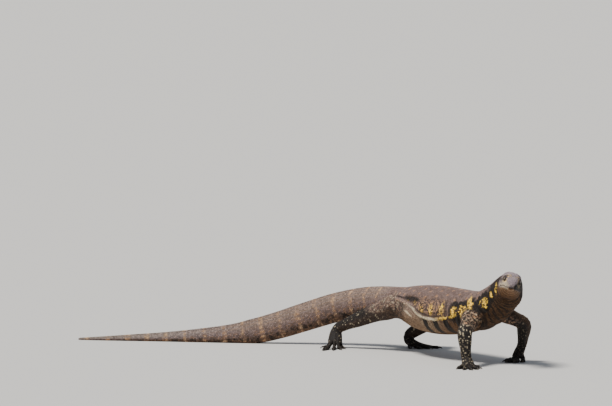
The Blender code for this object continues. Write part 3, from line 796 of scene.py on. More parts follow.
def head_cutters():
    """Sockets and openings of the eyes, the nostrils and the ears."""
    for side in (1, -1):
        centre, (ahead, high, out) = head.eye_axes(side)
        yield ball("socket", centre, (ahead, high, out), (EYE_RADIUS + 0.12,) * 3)
        yield ball("opening", centre + out * 7.5, (ahead, high, out), (*EYE_OPENING, 5.5))
        place, axes = head.nostril(side)
        yield ball("nostril", place, axes, np.array(NOSTRIL_SIZE) * (1.0, 0.75, 1.3), 24, 16)
        yield ball("ear", head.beside(EAR_AT, side), (head.forward, head.left, head.up), EAR_SIZE, 28, 18)


def lids():
    """A ball round each eye for its lids."""
    for side in (1, -1):
        yield ball("lid", *head.eye_axes(side), LID_RADIUS * LID_SHAPE, 72, 44)


def edges_of(mesh):
    """The two ends of each edge."""
    ends = np.empty(len(mesh.edges) * 2, np.int32)
    mesh.edges.foreach_get("vertices", ends)
    return ends.reshape(-1, 2)


def relaxed(points, edges, weight, rounds):
    """Each point drawn by its weight to the mean of its neighbours, again and again."""
    count = np.bincount(edges.ravel(), minlength=len(points))[:, None]
    for _ in range(rounds):
        total = np.zeros_like(points)
        for axis in range(3):
            total[:, axis] = np.bincount(edges[:, 0], points[edges[:, 1], axis], len(points))
            total[:, axis] += np.bincount(edges[:, 1], points[edges[:, 0], axis], len(points))
        points = points + (total / np.maximum(count, 1) - points) * weight[:, None]
    return points


def eye_distance(points):
    """Distance from the nearer eye's centre, and how far out, ahead and up along its opening's ways."""
    found = []
    for side in (1, -1):
        centre, (ahead, high, out) = head.eye_axes(side)
        away = points - centre
        found.append((np.linalg.norm(away, axis=1), away @ out, away @ ahead, away @ high))
    nearer = found[0][0] < found[1][0]
    return [np.where(nearer, a, b) for a, b in zip(*found)]


def soften(points, edges):
    """Rounds the junctions of limbs and body, of digits and palms, and of lids and head."""
    on_trunk = trunk_line.locate(points)
    near_head = on_trunk["place"] > spine.end
    weight, toes = np.zeros((2, len(points)))
    for line in limb_lines.values():
        on_limb = line.locate(points)
        apart = np.maximum(np.abs(on_trunk["outside"]), np.abs(on_limb["outside"]))
        upper = (on_limb["place"] < 2.2) & ~near_head
        weight = np.maximum(weight, np.where(upper, fade(3, 13, apart), 0))
        palm = (on_limb["place"] > 3.2) & (np.abs(on_limb["outside"]) < 9)
        toes = np.maximum(toes, np.where(palm & (points[:, 2] > 1.2), 0.5, 0))
    points = relaxed(points, edges, 0.6 * weight, 60)
    points = relaxed(points, edges, toes, 5)
    radius = eye_distance(points)[0]
    return relaxed(points, edges, 0.5 * fade(7.4, 9.5, radius) * smooth(6.4, 7.0, radius), 8)


def mouth_line(behind):
    """Height of the line of the mouth at a distance behind the snout."""
    return table(HEAD, np.clip(behind, 0, HEAD_LENGTH))[:, 3]


def fold_turn(ahead_of_hips):
    """Turn from the top at which the pale fold along the flank lies, by distance ahead of the hips."""
    ahead = (-40, 0, 45, 83, 101, 119, 145, 173, 193, 218, 247, 300)
    return np.interp(ahead_of_hips, ahead, (64, 70, 73, 76, 78, 84, 99, 105, 107, 105, 102, 98))


def clear_of(points):
    """Distance outside the nearest limb. A point behind the limb's start counts as clear of it."""
    found = np.full(len(points), 99.0)
    for line in limb_lines.values():
        limb = line.locate(points)
        behind = np.where(limb["place"] < 0.4, 2.0 + np.abs(limb["outside"]), limb["outside"])
        found = np.minimum(found, behind)
    return found


def relief(points, trunk, apart):
    """Heights added to the skin: its folds and wrinkles, the groove of the back, and the head's features."""
    place, side_turn = trunk["place"], trunk["turn"]
    ahead, turn, arc = place - spine.hips, np.abs(side_turn), np.abs(trunk["arc"])
    rough = noise(points, 14, 3)
    away = (turn - fold_turn(ahead)) * 0.95
    torso = between(ahead, -40, 0, 215, 262)
    high = torso * (2.4 * bump(away, 3.6) - 1.3 * bump(away + 8, 4.5))
    high -= 2.6 * bump(ahead - HOLLOW, 26) * bump(turn - 59 - 0.04 * (ahead - HOLLOW), 6.5)
    sag = between(ahead, 195, 240, 300, 330) + 0.6 * bump(ahead - 62, 18)
    high += between(turn, 55, 75, 120, 140) * sag * wave(ahead + 0.25 * arc + 5 * rough, 13)
    high -= 1.2 * bump(arc, 6) * between(ahead, -60, 0, 270, 330)
    neck = smooth(285, 320, ahead) * fade(spine.end + 4, spine.end + 22, place)
    inner = np.where(side_turn < 0, 1.0, 0.45)
    side = smooth(45, 75, turn)
    high += neck * side * inner * 0.9 * wave(ahead - 0.18 * arc + 4 * rough, 9.5)
    high += neck * (1 - side) * 0.35 * wave(arc + 3 * rough, 8)
    high += 2.6 * bump(ahead - 300 + 0.12 * arc, 7) * smooth(100, 130, turn)
    high += bump(ahead - 378, 28) * (4.0 * bump(turn - 130, 42) + 2.5 * bump(side_turn - 125, 40))
    high += 5.0 * bump(ahead - 318, 26) * smooth(125, 160, turn)
    high *= smooth(0, 3, apart)
    high += head_relief(points, smooth(-3, 6, place - spine.end), turn)
    for line in limb_lines.values():
        high += limb_relief(line.locate(points))
    return high


def head_relief(points, on_head, turn):
    """The lips and the line of the mouth, the muzzle's hollow, the temple, and rims round each opening."""
    behind, across, up = head.place(points)
    above = up - mouth_line(behind)
    lips = on_head * (behind < MOUTH_CORNER + 1.5) * (turn > 30)
    ending = fade(MOUTH_CORNER - 4, MOUTH_CORNER + 1, behind)
    high = lips * ending * 0.38 * (bump(above - 1.5, 1.0) + bump(above + 1.4, 0.9))
    high -= lips * 0.95 * bump(above, 0.34) * (0.25 + 0.75 * ending)
    hollow = bump(behind - 27, 6) * bump(np.abs(across) - 12.5, 4) * bump(above - 10, 4)
    temple = bump(behind - 68, 11) * bump(above - 9, 8) * smooth(10, 18, np.abs(across))
    high += on_head * (1.3 * temple - 0.9 * hollow)
    high += on_head * 0.45 * smooth(120, 150, turn) * smooth(30, 60, behind) * wave(behind, 7)
    for side in (1, -1):
        place, (forward, upward, _) = head.nostril(side)
        away = points - place
        ring = np.hypot((away @ forward) / NOSTRIL_SIZE[0], (away @ upward) / NOSTRIL_SIZE[2])
        high += (np.linalg.norm(away, axis=1) < 7) * 0.55 * bump(ring - 1.7, 0.5)
        away = points - head.beside(EAR_AT, side)
        ring = np.hypot((away @ head.forward) / EAR_SIZE[0], (away @ head.up) / EAR_SIZE[2])
        high += (np.linalg.norm(away, axis=1) < 12) * 0.7 * bump(ring - 1.45, 0.3)
    radius, out, fore, rise = eye_distance(points)
    rim = np.hypot(fore / EYE_OPENING[0], rise / EYE_OPENING[1])
    rings = 0.5 * bump(rim - 1.12, 0.13) - 0.3 * bump(rim - 1.36, 0.09) + 0.25 * bump(rim - 1.6, 0.12)
    high += (radius < 8.6) * (out > 0) * rings
    return high + on_head * 0.7 * bump(rise - 8.0, 1.8) * bump(fore, 9) * (radius < 13)


def limb_relief(limb):
    """Creases at the elbow or knee and the wrist or ankle, three long muscles, and tendons over the palm."""
    at = limb["place"]
    bend = bump(at - 2.0, 0.2) + bump(at - 3.0, 0.13)
    high = bend * 0.55 * wave(limb["run"], 5.5)
    high += fade(2.8, 3.1, at) * 0.7 * np.cos(np.radians(3 * limb["turn"]) + at * 1.7)
    tendon = smooth(3.1, 3.4, at) * (np.abs(limb["turn"]) < 80)
    high += tendon * 0.35 * np.cos(2 * math.pi * limb["arc"] / 5.5)
    return high * (np.abs(limb["outside"]) < 6) * smooth(1.2, 1.45, at)


def make_skin():
    """The skin: every loft joined, cut open at the head's openings, softened, and moved out by its relief."""
    skin = grid("skin", trunk_rings())
    solids = [solid for name, limb in limbs.items() for solid in limb_solids(name, limb)]
    combine(skin, solids + list(lids()), "UNION")
    combine(skin, list(head_cutters()), "DIFFERENCE")
    mesh = skin.data
    points = soften(positions(mesh), edges_of(mesh))
    place_points(mesh, points)
    normals = np.empty(len(mesh.vertices) * 3, np.float32)
    mesh.vertices.foreach_get("normal", normals)
    high = relief(points, trunk_line.locate(points), clear_of(points))
    points = points + normals.reshape(-1, 3).astype(float) * high[:, None]
    points[:, 2] = np.maximum(points[:, 2], LOWEST_SKIN)
    place_points(mesh, points)
    shade_smooth(mesh)
    return skin


def mark(marks, **strengths):
    """Raises each named mark to a strength where that is more."""
    for name, strength in strengths.items():
        marks[name] = np.maximum(marks[name], strength)


def rows_apart(value, spacing):
    """Number of the nearest of evenly spaced rows, and the distance from it."""
    row = np.round(value / spacing)
    return row, value - row * spacing


def net_of(points):
    """A net of fine pale meshes: 1 on them and 0 between."""
    return smooth(-0.15, 0.35, noise(points, 1.9, 67) + 0.5 * noise(points, 6, 68))


def torso_marks(ahead, turn, arc, left, points, marks):
    """Tan spots on the back, yellow blotches in black and fine dots on the flank, the foremost off the left
    side as painted shade, and a tan belly, dark also as painted shade.
    """
    rough, grain, fine = noise(points, 16, 11), noise(points, 5, 12), noise(points, 2.6, 13)
    jagged = 0.34 * grain + 0.34 * fine
    torso = between(ahead, -36, 0, 300, 350)
    row, along = rows_apart(ahead + 2.5 * rough - SPOT_ROWS[1], SPOT_ROWS[0])
    _, around = rows_apart(arc + 8.5 * (row % 2), 17)
    spot = np.hypot(along / 3.7, around / 3.2) + jagged
    mark(marks, tan=0.8 * torso * fade(0.75, 1.15, spot) * (turn < 72))
    nearest = np.full(len(points), 9.0)
    yellow = np.zeros(len(points))
    for at, high, long, tall, solid in BLOTCHES:
        away = np.hypot((ahead - at - 7 * left) / long, (turn - high + 8 * left) / tall) + jagged
        filled = fade(0.88, 1.12, away) * smooth(0.30 - solid, 0.62 - solid, fine)
        # Ahead of RIGHT_ONLY the blotches are left off the left side, which is kept dark as painted shade
        yellow = np.maximum(yellow, filled * (1 - left * (at > RIGHT_ONLY)))
        nearest = np.minimum(nearest, away)
    front = smooth(205, 262, ahead)
    black = front * (0.8 + 0.2 * smooth(0.9, 1.15, nearest)) * fade(1.9, 2.6, nearest)
    black = black * smooth(46, 60, turn) * (ahead < 372) * (turn < 124)
    mark(marks, gold=yellow, dark=0.94 * black)
    under_fold = turn - fold_turn(ahead)
    rear = smooth(44, 62, turn) * fade(-14, -5, under_fold) * (1 - front) * smooth(50, 90, ahead)
    cluster = fade(0.5, 1.4, np.hypot(along / 9.5, (turn - 86) / 17) + 0.35 * grain)
    dot = spots(ahead, arc, (6.2, 5.6), 1.75, 21, 0.4) + 0.2 * fine
    ring = spots(ahead, arc, (19, 17), 5.0, 22)
    dot = np.minimum(dot, 0.75 + 2.2 * np.abs(ring - 0.95))
    mark(
        marks,
        tan=rear * (0.5 + 0.45 * cluster) * fade(0.8, 1.2, dot),
        gold=0.42 * rear * cluster * fade(0.8, 1.15, dot + 0.3 * rough),
        dark=rear * (0.55 + 0.35 * cluster) * smooth(0.95, 1.35, dot),
    )
    belly_marks(ahead, turn, arc, torso * smooth(-3, 4, under_fold), under_fold, (grain, fine), marks)
    fold_marks(ahead, turn, torso, under_fold, (grain, fine), marks)
    hip_marks(ahead, turn, arc, under_fold, fine, points, marks)
    # Belly tan below, dark also as painted shade under the body
    mark(marks, warm=smooth(80, 125, turn))


def belly_marks(ahead, turn, arc, lower, under_fold, fields, marks):
    """Black bars down the belly, a row apart, and a lighter panel behind them under the fold."""
    grain, fine = fields
    _, bar = rows_apart(ahead + 0.12 * (arc - 100) - 165, SPOT_ROWS[0])
    bar = lower * smooth(140, 150, ahead) * fade(6.3, 8.4, np.abs(bar) + 1.5 * grain)
    bar = bar * (1 - 0.4 * smooth(140, 170, turn))
    panel = lower * between(ahead, 50, 90, 150, 255) * (1 - bar) * (turn < 150)
    light = panel * smooth(130, 160, ahead) * fade(12, 34, under_fold)
    mark(marks, dark=0.95 * bar, tan=0.12 * panel, pale=0.10 * panel + 0.24 * light * smooth(-0.5, 0.2, fine))


def fold_marks(ahead, turn, torso, under_fold, fields, marks):
    """The fold's cream crest, its paleness partly a painted highlight on the ridge, broken yellow farther on,
    with painted shade in the groove over it and in the crease by the hip, and a painted shadow in the hollow
    behind.
    """
    grain, fine = fields
    # The crest is cream, and its paleness is also a painted highlight of light on the ridge
    crest = torso * smooth(0.35, 0.8, bump(under_fold + 1.5 * grain, 4.2) + 0.25 * fine)
    cream = between(ahead, 84, 104, 192, 216) * (0.4 + 0.5 * smooth(115, 132, ahead))
    broken = between(ahead, 192, 216, 252, 272) * smooth(-0.25, 0.15, fine)
    # Painted shade in the groove over the fold and in the crease by the hip, and a painted shadow in the
    # flank's hollow
    shade = torso * between(ahead, 115, 145, 205, 240) * bump(under_fold + 7, 2.8)
    hollow = bump(ahead - HOLLOW, 42) * bump(turn - 62.5 - 0.04 * (ahead - HOLLOW), 8.5)
    crease_shade = 0.6 * bump(under_fold + 11, 3.5) * between(ahead, -60, -20, 60, 90)
    mark(marks, pale=crest * cream, gold=0.8 * crest * broken, dark=0.75 * shade)
    mark(marks, dark=0.93 * smooth(0.15, 0.72, np.maximum(hollow, crease_shade) + 0.1 * fine))


def hip_marks(ahead, turn, arc, under_fold, fine, points, marks):
    """The netted hip, its pale ridge, a pale streak painted as a highlight, and one pale ring."""
    hip = smooth(-70, -35, ahead) * fade(70, 96, ahead + 0.8 * (turn - 90)) * smooth(-1, 5, under_fold)
    net = net_of(points)
    ridge = bump(under_fold - 1, 5) * between(ahead, -50, -10, 88, 108)
    # Painted highlight: a whitish streak along the crease in front of the thigh
    streak = bump(turn - 97 - 0.33 * (ahead - 89), 3.6) * bump(ahead - 98, 20)
    ring = bump(np.hypot(ahead - 33, arc - 62) - 4.6, 1.5)
    mark(marks, dark=hip * (0.86 - 0.55 * net), tan=0.25 * hip * net)
    mark(marks, tan=0.7 * ridge * smooth(-0.2, 0.3, fine), pale=0.6 * ridge * smooth(0.25, 0.5, fine))
    mark(marks, pale=0.8 * smooth(0.2, 0.7, streak + 0.2 * fine))
    mark(marks, pale=0.8 * ring * smooth(-0.5, 0.1, fine))


def neck_marks(place, ahead, turn, arc, points, marks):
    """Black sides of the neck, and dark rings across a brown throat and a chest, the chest also darkened all
    over as painted shade.
    """
    neck = smooth(330, 365, ahead) * fade(-2, 12, place - spine.end)
    mark(marks, dark=0.88 * neck * between(turn, 52, 68, 118, 132) * (1 - marks["gold"]))
    rings = np.cos(2 * math.pi * (place + 0.42 * np.abs(arc) + 2.5 * noise(points, 9, 31)) / 11)
    chest = smooth(262, 300, ahead) * smooth(104, 122, turn)
    # Painted shade: the whole chest at least 0.30 dark, with the rings darker
    mark(marks, dark=chest * (0.30 + 0.5 * smooth(0.05, 0.6, rings)))


def head_marks(points, trunk, marks):
    """A crown painted lavender-grey as a sky sheen, yellow round the eyes, barred pale lips and a dark
    temple; the head's left side painted in shade and its right face painted lighter.
    """
    behind, across, up = head.place(points)
    past_nape = trunk["place"] - spine.end
    on_head = smooth(-4, 8, past_nape)
    turn, rough = np.abs(trunk["turn"]), noise(points, 6, 41)
    above = up - mouth_line(behind)
    crown = smooth(-46, 12, past_nape) * fade(48, 68, turn)
    cheek = between(turn, 48, 66, 104, 116)
    side = on_head * cheek
    # Painted shade: the left cheek and the neck just behind it darkened
    shaded = cheek * smooth(2, 9, across) * smooth(-14, -5, past_nape)
    # Painted sky sheen: lavender-grey on the crown and the cheeks
    mark(marks, cool=crown * (0.85 + 0.15 * rough))
    mark(marks, cool=0.45 * side, dark=side * 0.22 * smooth(-0.2, 0.3, rough) + 0.9 * shaded)
    # Painted shade: the crown darker on the left
    mark(marks, dark=0.55 * crown * on_head * smooth(5, 14, across))
    # Painted light: the right face lighter
    mark(marks, pale=0.5 * side * smooth(3, 9, -across) * fade(34, 64, behind))
    lip = on_head * bump(above - 2.6, 2.6) * (behind < MOUTH_CORNER + 8)
    lip = lip * (0.25 + 0.75 * smooth(8, 20, behind))
    lower = on_head * bump(above + 2.6, 2.4) * (behind < MOUTH_CORNER + 2)
    bars = smooth(0.25, 0.6, np.cos(2 * math.pi * (behind + 0.3 * above) / 8.5))
    # Painted shade: the pale of the lips left off the left side
    mark(marks, pale=0.9 * np.maximum(lip, 0.6 * lower) * (1 - bars) * (1 - 0.96 * smooth(3, 8, across)))
    mark(marks, dark=0.8 * np.maximum(lip, lower) * bars * smooth(3, 8, behind))
    radius = eye_distance(points)[0]
    # Painted shade: the yellow round the left eye made faint
    right = 1 - 0.75 * smooth(0, 6, across)
    gold = on_head * bump(radius - 9.5, 3.4) * smooth(-0.1, 0.3, noise(points, 3, 42)) * right
    ring = on_head * bump(radius - 11, 4) * (above < 15) * right
    mark(marks, gold=0.7 * gold * (turn < 104), pale=0.6 * ring)
    marks["dark"] = marks["dark"] * (1 - 0.9 * gold)
    mark(marks, dark=0.7 * side * smooth(44, 52, behind) * bump(above - 13, 5.5))
    mark(marks, dark=0.92 * (radius < 9) * bump(radius - 6.6, 1.35))
    # Painted shade along the line of the mouth
    mouth = on_head * bump(above, 1.1) * (behind < MOUTH_CORNER + 1)
    mark(marks, dark=0.9 * mouth)
    marks["gold"] = marks["gold"] * smooth(7.0, 8.0, radius)
    marks["pale"] = marks["pale"] * smooth(7.0, 8.0, radius) * (1 - mouth)
    throat = on_head * smooth(104, 118, turn)
    rings = np.cos(2 * math.pi * (behind + 0.7 * np.abs(across) + 1.5 * rough) / 15)
    tan = 0.35 * throat * fade(-0.5, 0.3, rings) * fade(40, 70, behind)
    dark = throat * smooth(0.2, 0.8, rings) * 0.6 * smooth(6, 14, behind)
    mark(marks, warm=throat, tan=tan, dark=dark)


def tail_marks(behind_vent, turn, arc, points, marks):
    """Bands of tan spots round the tail, fine lines along its top, a dark keel, a painted sheen and a lighter
    top toward the tip, and a mottled underside darkened as painted shade.
    """
    rough, grain = noise(points, 12, 51), noise(points, 4, 52)
    tail = smooth(-6, 20, behind_vent)
    first_band = spine.vent - spine.hips - TAIL_BANDS[1]
    _, along = rows_apart(behind_vent + 3 * rough - first_band, TAIL_BANDS[0])
    wide = np.interp(behind_vent, (0, 200, 500, 740), (3.4, 4.0, 4.6, 6.5))
    dots = smooth(-0.15, 0.35, grain + 0.35 * np.cos(2 * math.pi * arc / 8))
    band = fade(0.7, 1.25, np.abs(along) / wide) * (0.2 + 0.8 * dots)
    start = smooth(0, 60, behind_vent)
    # Painted shade: the underside darkened, mottled
    under = tail * smooth(88, 125, turn) * start * (1 - 0.7 * band)
    top = fade(60, 120, turn)
    sheen = smooth(-30, 60, behind_vent) * fade(45, 100, turn) * fade(350, 600, behind_vent)
    lines = smooth(-0.2, 0.5, np.cos(2 * math.pi * arc / 7) + 0.8 * grain)
    mottle = smooth(0.1, 0.4, noise(points, 2.6, 53) + 0.3 * grain)
    # Painted sheen over the top and a lighter top toward the tip, with the bands' own pale
    bright = 0.10 * sheen + 0.24 * top * smooth(400, 620, behind_vent) + 0.22 * band * smooth(0, 0.4, grain)
    mark(marks, tan=0.95 * tail * band, dark=under * (0.2 + 0.6 * smooth(-0.1, 0.4, grain + rough * 0.5)))
    mark(marks, tan=sheen * 0.22 * lines, dark=tail * 0.5 * bump(arc, 2.2) * (1 - band))
    mark(marks, tan=0.4 * smooth(60, 95, turn) * fade(500, 700, behind_vent) * start * mottle)
    # Painted sky sheen: lavender-grey on the tail's top, more toward the tip
    mark(marks, cool=tail * fade(80, 120, turn) * (0.15 + 0.6 * smooth(330, 600, behind_vent)))
    mark(marks, pale=tail * bright, warm=tail * smooth(100, 140, turn) * 0.7)


def arm_marks(name, limb, fine, top, digit):
    """A dark arm with cream specks on the forearm, a tan upper arm with two clearer blotches, and pale flecks
    painted as highlights on its top.
    """
    at, run, arc = limb["place"], limb["run"], limb["arc"]
    dots = fade(0.75, 1.15, spots(run, arc, (11.5, 10.5), 1.25, 62, 0.45))
    small = fade(0.75, 1.15, spots(run, arc, (6.8, 6.4), 0.95, 64, 0.42)) * smooth(1.5, 1.8, at)
    shoulder, upper = fade(1.1, 1.5, at), top * fade(1.6, 2.0, at)
    dark = 0.95 - 0.30 * (1 - top) * (1 - digit)
    dark = dark - 0.45 * np.maximum(shoulder, upper) * smooth(-0.15, 0.3, fine)
    specks = np.maximum(dots * (0.25 + 0.6 * top), small * (0.2 + 0.6 * top))
    bright = 1.0 if name.endswith("right") else 0.3
    tan = 0.55 * np.maximum(upper, 0.5 * shoulder) * smooth(-0.05, 0.35, fine)
    for where, across, size in ((36, 7, 3.4), (65, -5, 4.0)):
        tan = np.maximum(tan, fade(0.8, 1.15, np.hypot(run - where, arc - across) / size + 0.25 * fine))
    return dict(
        dark=dark * (1 - tan),
        tan=tan,
        # The pale flecks on the upper arm's top are painted highlights
        pale=bright * (specks + 0.22 * upper * smooth(0.2, 0.45, fine)),
        warm=(1 - top) * 0.9 + 0.3 * shoulder,
    )


def leg_marks(limb, points, rough, fine, top, digit):
    """A dark leg with a few cream flecks. The thigh is netted grey above its axis and painted dark below it
    as shade.
    """
    above = smooth(-0.45, 0.35, limb["rise"] + 0.25 * rough)
    thigh = fade(1.6, 2.05, limb["place"] + 0.12 * rough + 0.35 * (1 - above))
    net = net_of(points)
    flecks = (1 - thigh) * smooth(0.56, 0.76, fine + 0.3 * rough) * (0.2 + 0.4 * top)
    return dict(
        # Painted shade: the thigh darker below its axis
        dark=0.95 - thigh * (0.1 + 0.9 * above) * (0.33 + 0.55 * net) - 0.2 * (1 - above) * (1 - digit),
        # Painted sky sheen on the thigh's top
        cool=thigh * above * 0.15,
        tan=0.25 * thigh * net,
        pale=np.maximum(thigh * above * smooth(0.3, 0.55, fine) * 0.55, flecks),
        warm=0.7 * (1 - above) + 0.3 * thigh * above,
    )


def limb_marks(name, limb, points):
    """The marks of an arm or a leg, fainter on its digits."""
    rough, fine = noise(points, 8, 61), noise(points, 2.4, 66)
    top = fade(60, 105, np.abs(limb["turn"]) + 15 * rough)
    digit = smooth(3.55, 3.8, limb["place"])
    marks = dict.fromkeys(MARKS, np.zeros(len(points)))
    if name.startswith("arm"):
        marks.update(arm_marks(name, limb, fine, top, digit))
    else:
        marks.update(leg_marks(limb, points, rough, fine, top, digit))
    marks["pale"] = np.clip(marks["pale"] * (1 - 0.5 * digit), 0, 1)
    marks["dark"] = np.clip(marks["dark"], 0, 1)
    return marks


def markings(points):
    """The strength of each mark at points on the body, from where they lie along it and round it."""
    trunk = trunk_line.locate(points)
    ahead = trunk["place"] - spine.hips
    turn, arc = np.abs(trunk["turn"]), np.abs(trunk["arc"])
    marks = {name: np.zeros(len(points)) for name in MARKS}
    torso_marks(ahead, turn, arc, trunk["turn"] > 0, points, marks)
    neck_marks(trunk["place"], ahead, turn, arc, points, marks)
    not_head = fade(-6, 4, trunk["place"] - spine.end)
    marks = {name: value * not_head for name, value in marks.items()}
    head_marks(points, trunk, marks)
    body = smooth(-30, -6, trunk["place"] - spine.vent)
    marks = {name: value * body for name, value in marks.items()}
    tail_marks(spine.vent - trunk["place"], turn, arc, points, marks)
    far = trunk["outside"].copy()
    for name, line in limb_lines.items():
        limb = line.locate(points)
        there = smooth(-3.5, 3.5, trunk["outside"] - limb["outside"]) * (limb["outside"] < 60)
        there = there * (trunk["place"] < spine.end - 10) * (limb["place"] > 0.6)
        nearer = limb["outside"] < far
        there = np.where(nearer | (there > 0), there, 0)
        theirs = limb_marks(name, limb, points)
        marks = {key: value * (1 - there) + theirs[key] * there for key, value in marks.items()}
        far = np.minimum(far, limb["outside"])
    return marks


def put_marks(mesh, marks, own):
    """Writes the marks as two vectors and a number on the mesh's points."""
    for name, keys in (("marks", MARKS[:3]), ("grounds", MARKS[3:])):
        layer = mesh.attributes.new(name, "FLOAT_VECTOR", "POINT")
        values = np.stack([np.clip(marks[key], 0, 1) for key in keys], axis=1)
        layer.data.foreach_set("vector", values.astype(np.float32).ravel())
    put_number(mesh, "own", own)


def laid_on(skin, points):
    """Points moved to the nearest place on the skin."""
    mesh = bpy.data.meshes.new("roots")
    mesh.vertices.add(len(points))
    place_points(mesh, points)
    roots = placed("roots", mesh)
    wrap = roots.modifiers.new("wrap", "SHRINKWRAP")
    wrap.target = skin
    wrap.wrap_method = "NEAREST_SURFACEPOINT"
    graph = bpy.context.evaluated_depsgraph_get()
    laid = positions(roots.evaluated_get(graph).data)
    bpy.data.objects.remove(roots)
    return laid


def first_in_cells(root, width, kept):
    """Of the kept roots, the first in each cube of 0.62 of a scale's width."""
    cells = np.floor(root / (width[:, None] * 0.62)).astype(np.int64)
    key = (cells * HASH_STEPS).sum(axis=1)
    order = np.flatnonzero(kept)
    first = np.zeros(len(root), bool)
    first[order[np.unique(key[order], return_index=True)[1]]] = True
    return first


def girth_of(rings):
    """Length round each ring."""
    closed = np.concatenate([rings, rings[:, :1]], axis=1)
    return np.linalg.norm(np.diff(closed, axis=1), axis=2).sum(axis=1)


def spaced(start, stop, spacing):
    """Places from start to stop, spaced as a table of (place, spacing) says."""
    fine = np.linspace(start, stop, 2000)
    rate = 1 / np.interp(fine, *np.transpose(spacing))
    run = np.append(0, np.cumsum((rate[1:] + rate[:-1]) / 2 * np.abs(np.diff(fine))))
    return np.interp(np.linspace(0, run[-1], max(int(round(run[-1])), 2) + 1), run, fine)


def scale_rows(surface, places, width, height, rearward, plot=(0, 0, 1, 1)):
    """Staggered roots in rings round a surface: each row holds its girth over a width, and every other
    row starts half a step on. The plot is the region's corner and sides on the unwrapped skin."""
    rings = surface(places, np.arange(48) / 48)
    width = np.broadcast_to(width, len(places))
    girth = girth_of(rings)
    count = np.maximum(4 * np.round(girth / width / 4), 6).astype(int)
    row = np.repeat(np.arange(len(places)), count)
    within = np.arange(len(row)) - np.repeat(np.cumsum(count) - count, count)
    share = (within + 0.5 * (row % 2)) / count[row]
    middle = rings.mean(axis=1)
    usual = np.median(np.linalg.norm(np.gradient(middle, axis=0), axis=1))
    at, step = places[row], np.abs(np.gradient(places))[row]
    root = surface(at, share[:, None])[:, 0]
    back = surface(at + 0.3 * rearward * step, share[:, None])[:, 0]
    length = np.linalg.norm(back - root, axis=1) / 0.3
    u = plot[0] + plot[2] * (0.005 + 0.99 * row / max(len(places) - 1, 1))
    return dict(
        root=root,
        back=back,
        beside=surface(at, share[:, None] + 0.3 / count[row][:, None])[:, 0],
        inside=middle[row],
        length=np.clip(length, 0.75 * usual, 1.7 * usual),
        width=(girth / count)[row],
        height=height(at, share) if callable(height) else np.full(len(row), height),
        share=share,
        u=u,
        v=plot[1] + plot[3] * (0.005 + (0.99 * share) % 1),
    )


# One scale: an oval of six corners at its foot, six on its shoulder, and two on its ridge
SCALE_FOOT = [(math.cos(a) * 0.98, math.sin(a) * 0.98, -0.35) for a in np.arange(6) * math.pi / 3]
SCALE_SHOULDER = [(math.cos(a) * 0.84, math.sin(a) * 0.82, 0.62) for a in np.arange(6) * math.pi / 3]
SCALE_POINTS = np.array(SCALE_FOOT + SCALE_SHOULDER + [(0.4, 0, 1.0), (-0.4, 0, 1.0)])
SCALE_FACES = np.array(
    [(i, (i + 1) % 6, 6 + (i + 1) % 6) for i in range(6)]
    + [(i, 6 + (i + 1) % 6, 6 + i) for i in range(6)]
    + [(11, 6, 12), (6, 7, 12), (7, 8, 13), (8, 9, 13), (9, 10, 13), (10, 11, 12), (7, 13, 12), (10, 12, 13)]
    + [(0, 2, 1), (0, 3, 2), (0, 4, 3), (0, 5, 4)]
)
# Side of one scale's patch on the unwrapped skin
PATCH = 0.003


def make_coat(name, skin, regions, material):
    """One piece of the coat: a solid scale at every root, flat on the skin and long to the rear."""
    joined = {key: np.concatenate([region[key] for region in regions]) for key in regions[0]}
    laid = laid_on(skin, np.vstack([joined["root"], joined["back"], joined["beside"]]))
    root, back, beside = np.split(laid, 3)
    moved = np.linalg.norm(root - joined["root"], axis=1)
    rear = unit(back - root)
    normal = unit(np.cross(unit(beside - root), rear))
    outward = joined["root"] - joined["inside"]
    normal *= np.sign((normal * outward).sum(axis=1, keepdims=True))
    across = np.cross(normal, rear)
    kept = (moved < joined["reach"]) & joined["wanted"] & (np.linalg.norm(normal, axis=1) > 0.5)
    kept = kept & (first_in_cells(root, joined["width"], kept) | ~joined["crowded"])
    root, rear, across, normal = root[kept], rear[kept], across[kept], normal[kept]
    length, width, height = (joined[key][kept][:, None, None] for key in ("length", "width", "height"))
    draw = np.random.default_rng(len(root))
    jitter = 1 + 0.07 * draw.standard_normal((len(root), 1, 1))
    x, y, z = SCALE_POINTS.T[:, None, :, None]
    points = (
        root[:, None]
        + x * 0.5 * length * jitter * rear[:, None]
        + y * 0.5 * width * jitter * across[:, None]
        + z * height * normal[:, None]
    )
    points[..., 2] = np.maximum(points[..., 2], LOWEST_SCALE)
    corners = len(SCALE_POINTS)
    faces = SCALE_FACES[None] + np.arange(len(root))[:, None, None] * corners
    mesh = bpy.data.meshes.new(name)
    mesh.vertices.add(points.size // 3)
    mesh.loops.add(faces.size)
    mesh.polygons.add(faces.size // 3)
    mesh.vertices.foreach_set("co", to_frame(points.reshape(-1, 3)).astype(np.float32).ravel())
    mesh.loops.foreach_set("vertex_index", faces.astype(np.int32).ravel())
    mesh.polygons.foreach_set("loop_start", np.arange(0, faces.size, 3, dtype=np.int32))
    shade_smooth(mesh)
    marks = {key: np.repeat(value, corners) for key, value in markings(root).items()}
    put_marks(mesh, marks, np.repeat(draw.random(len(root)), corners))
    flat = np.stack([joined["u"][kept], joined["v"][kept]], axis=1)[:, None]
    flat = flat + np.broadcast_to(SCALE_POINTS[:, :2] * PATCH / 2, (len(root), corners, 2))
    layer = mesh.uv_layers.new(name="OFBake")
    layer.data.foreach_set("uv", flat.reshape(-1, 2)[faces.ravel()].astype(np.float32).ravel())
    mesh.update(calc_edges=True)
    mesh.materials.append(material)
    print(name, len(root), "scales", len(faces) * len(SCALE_FACES), "triangles")
    return placed(name, mesh)


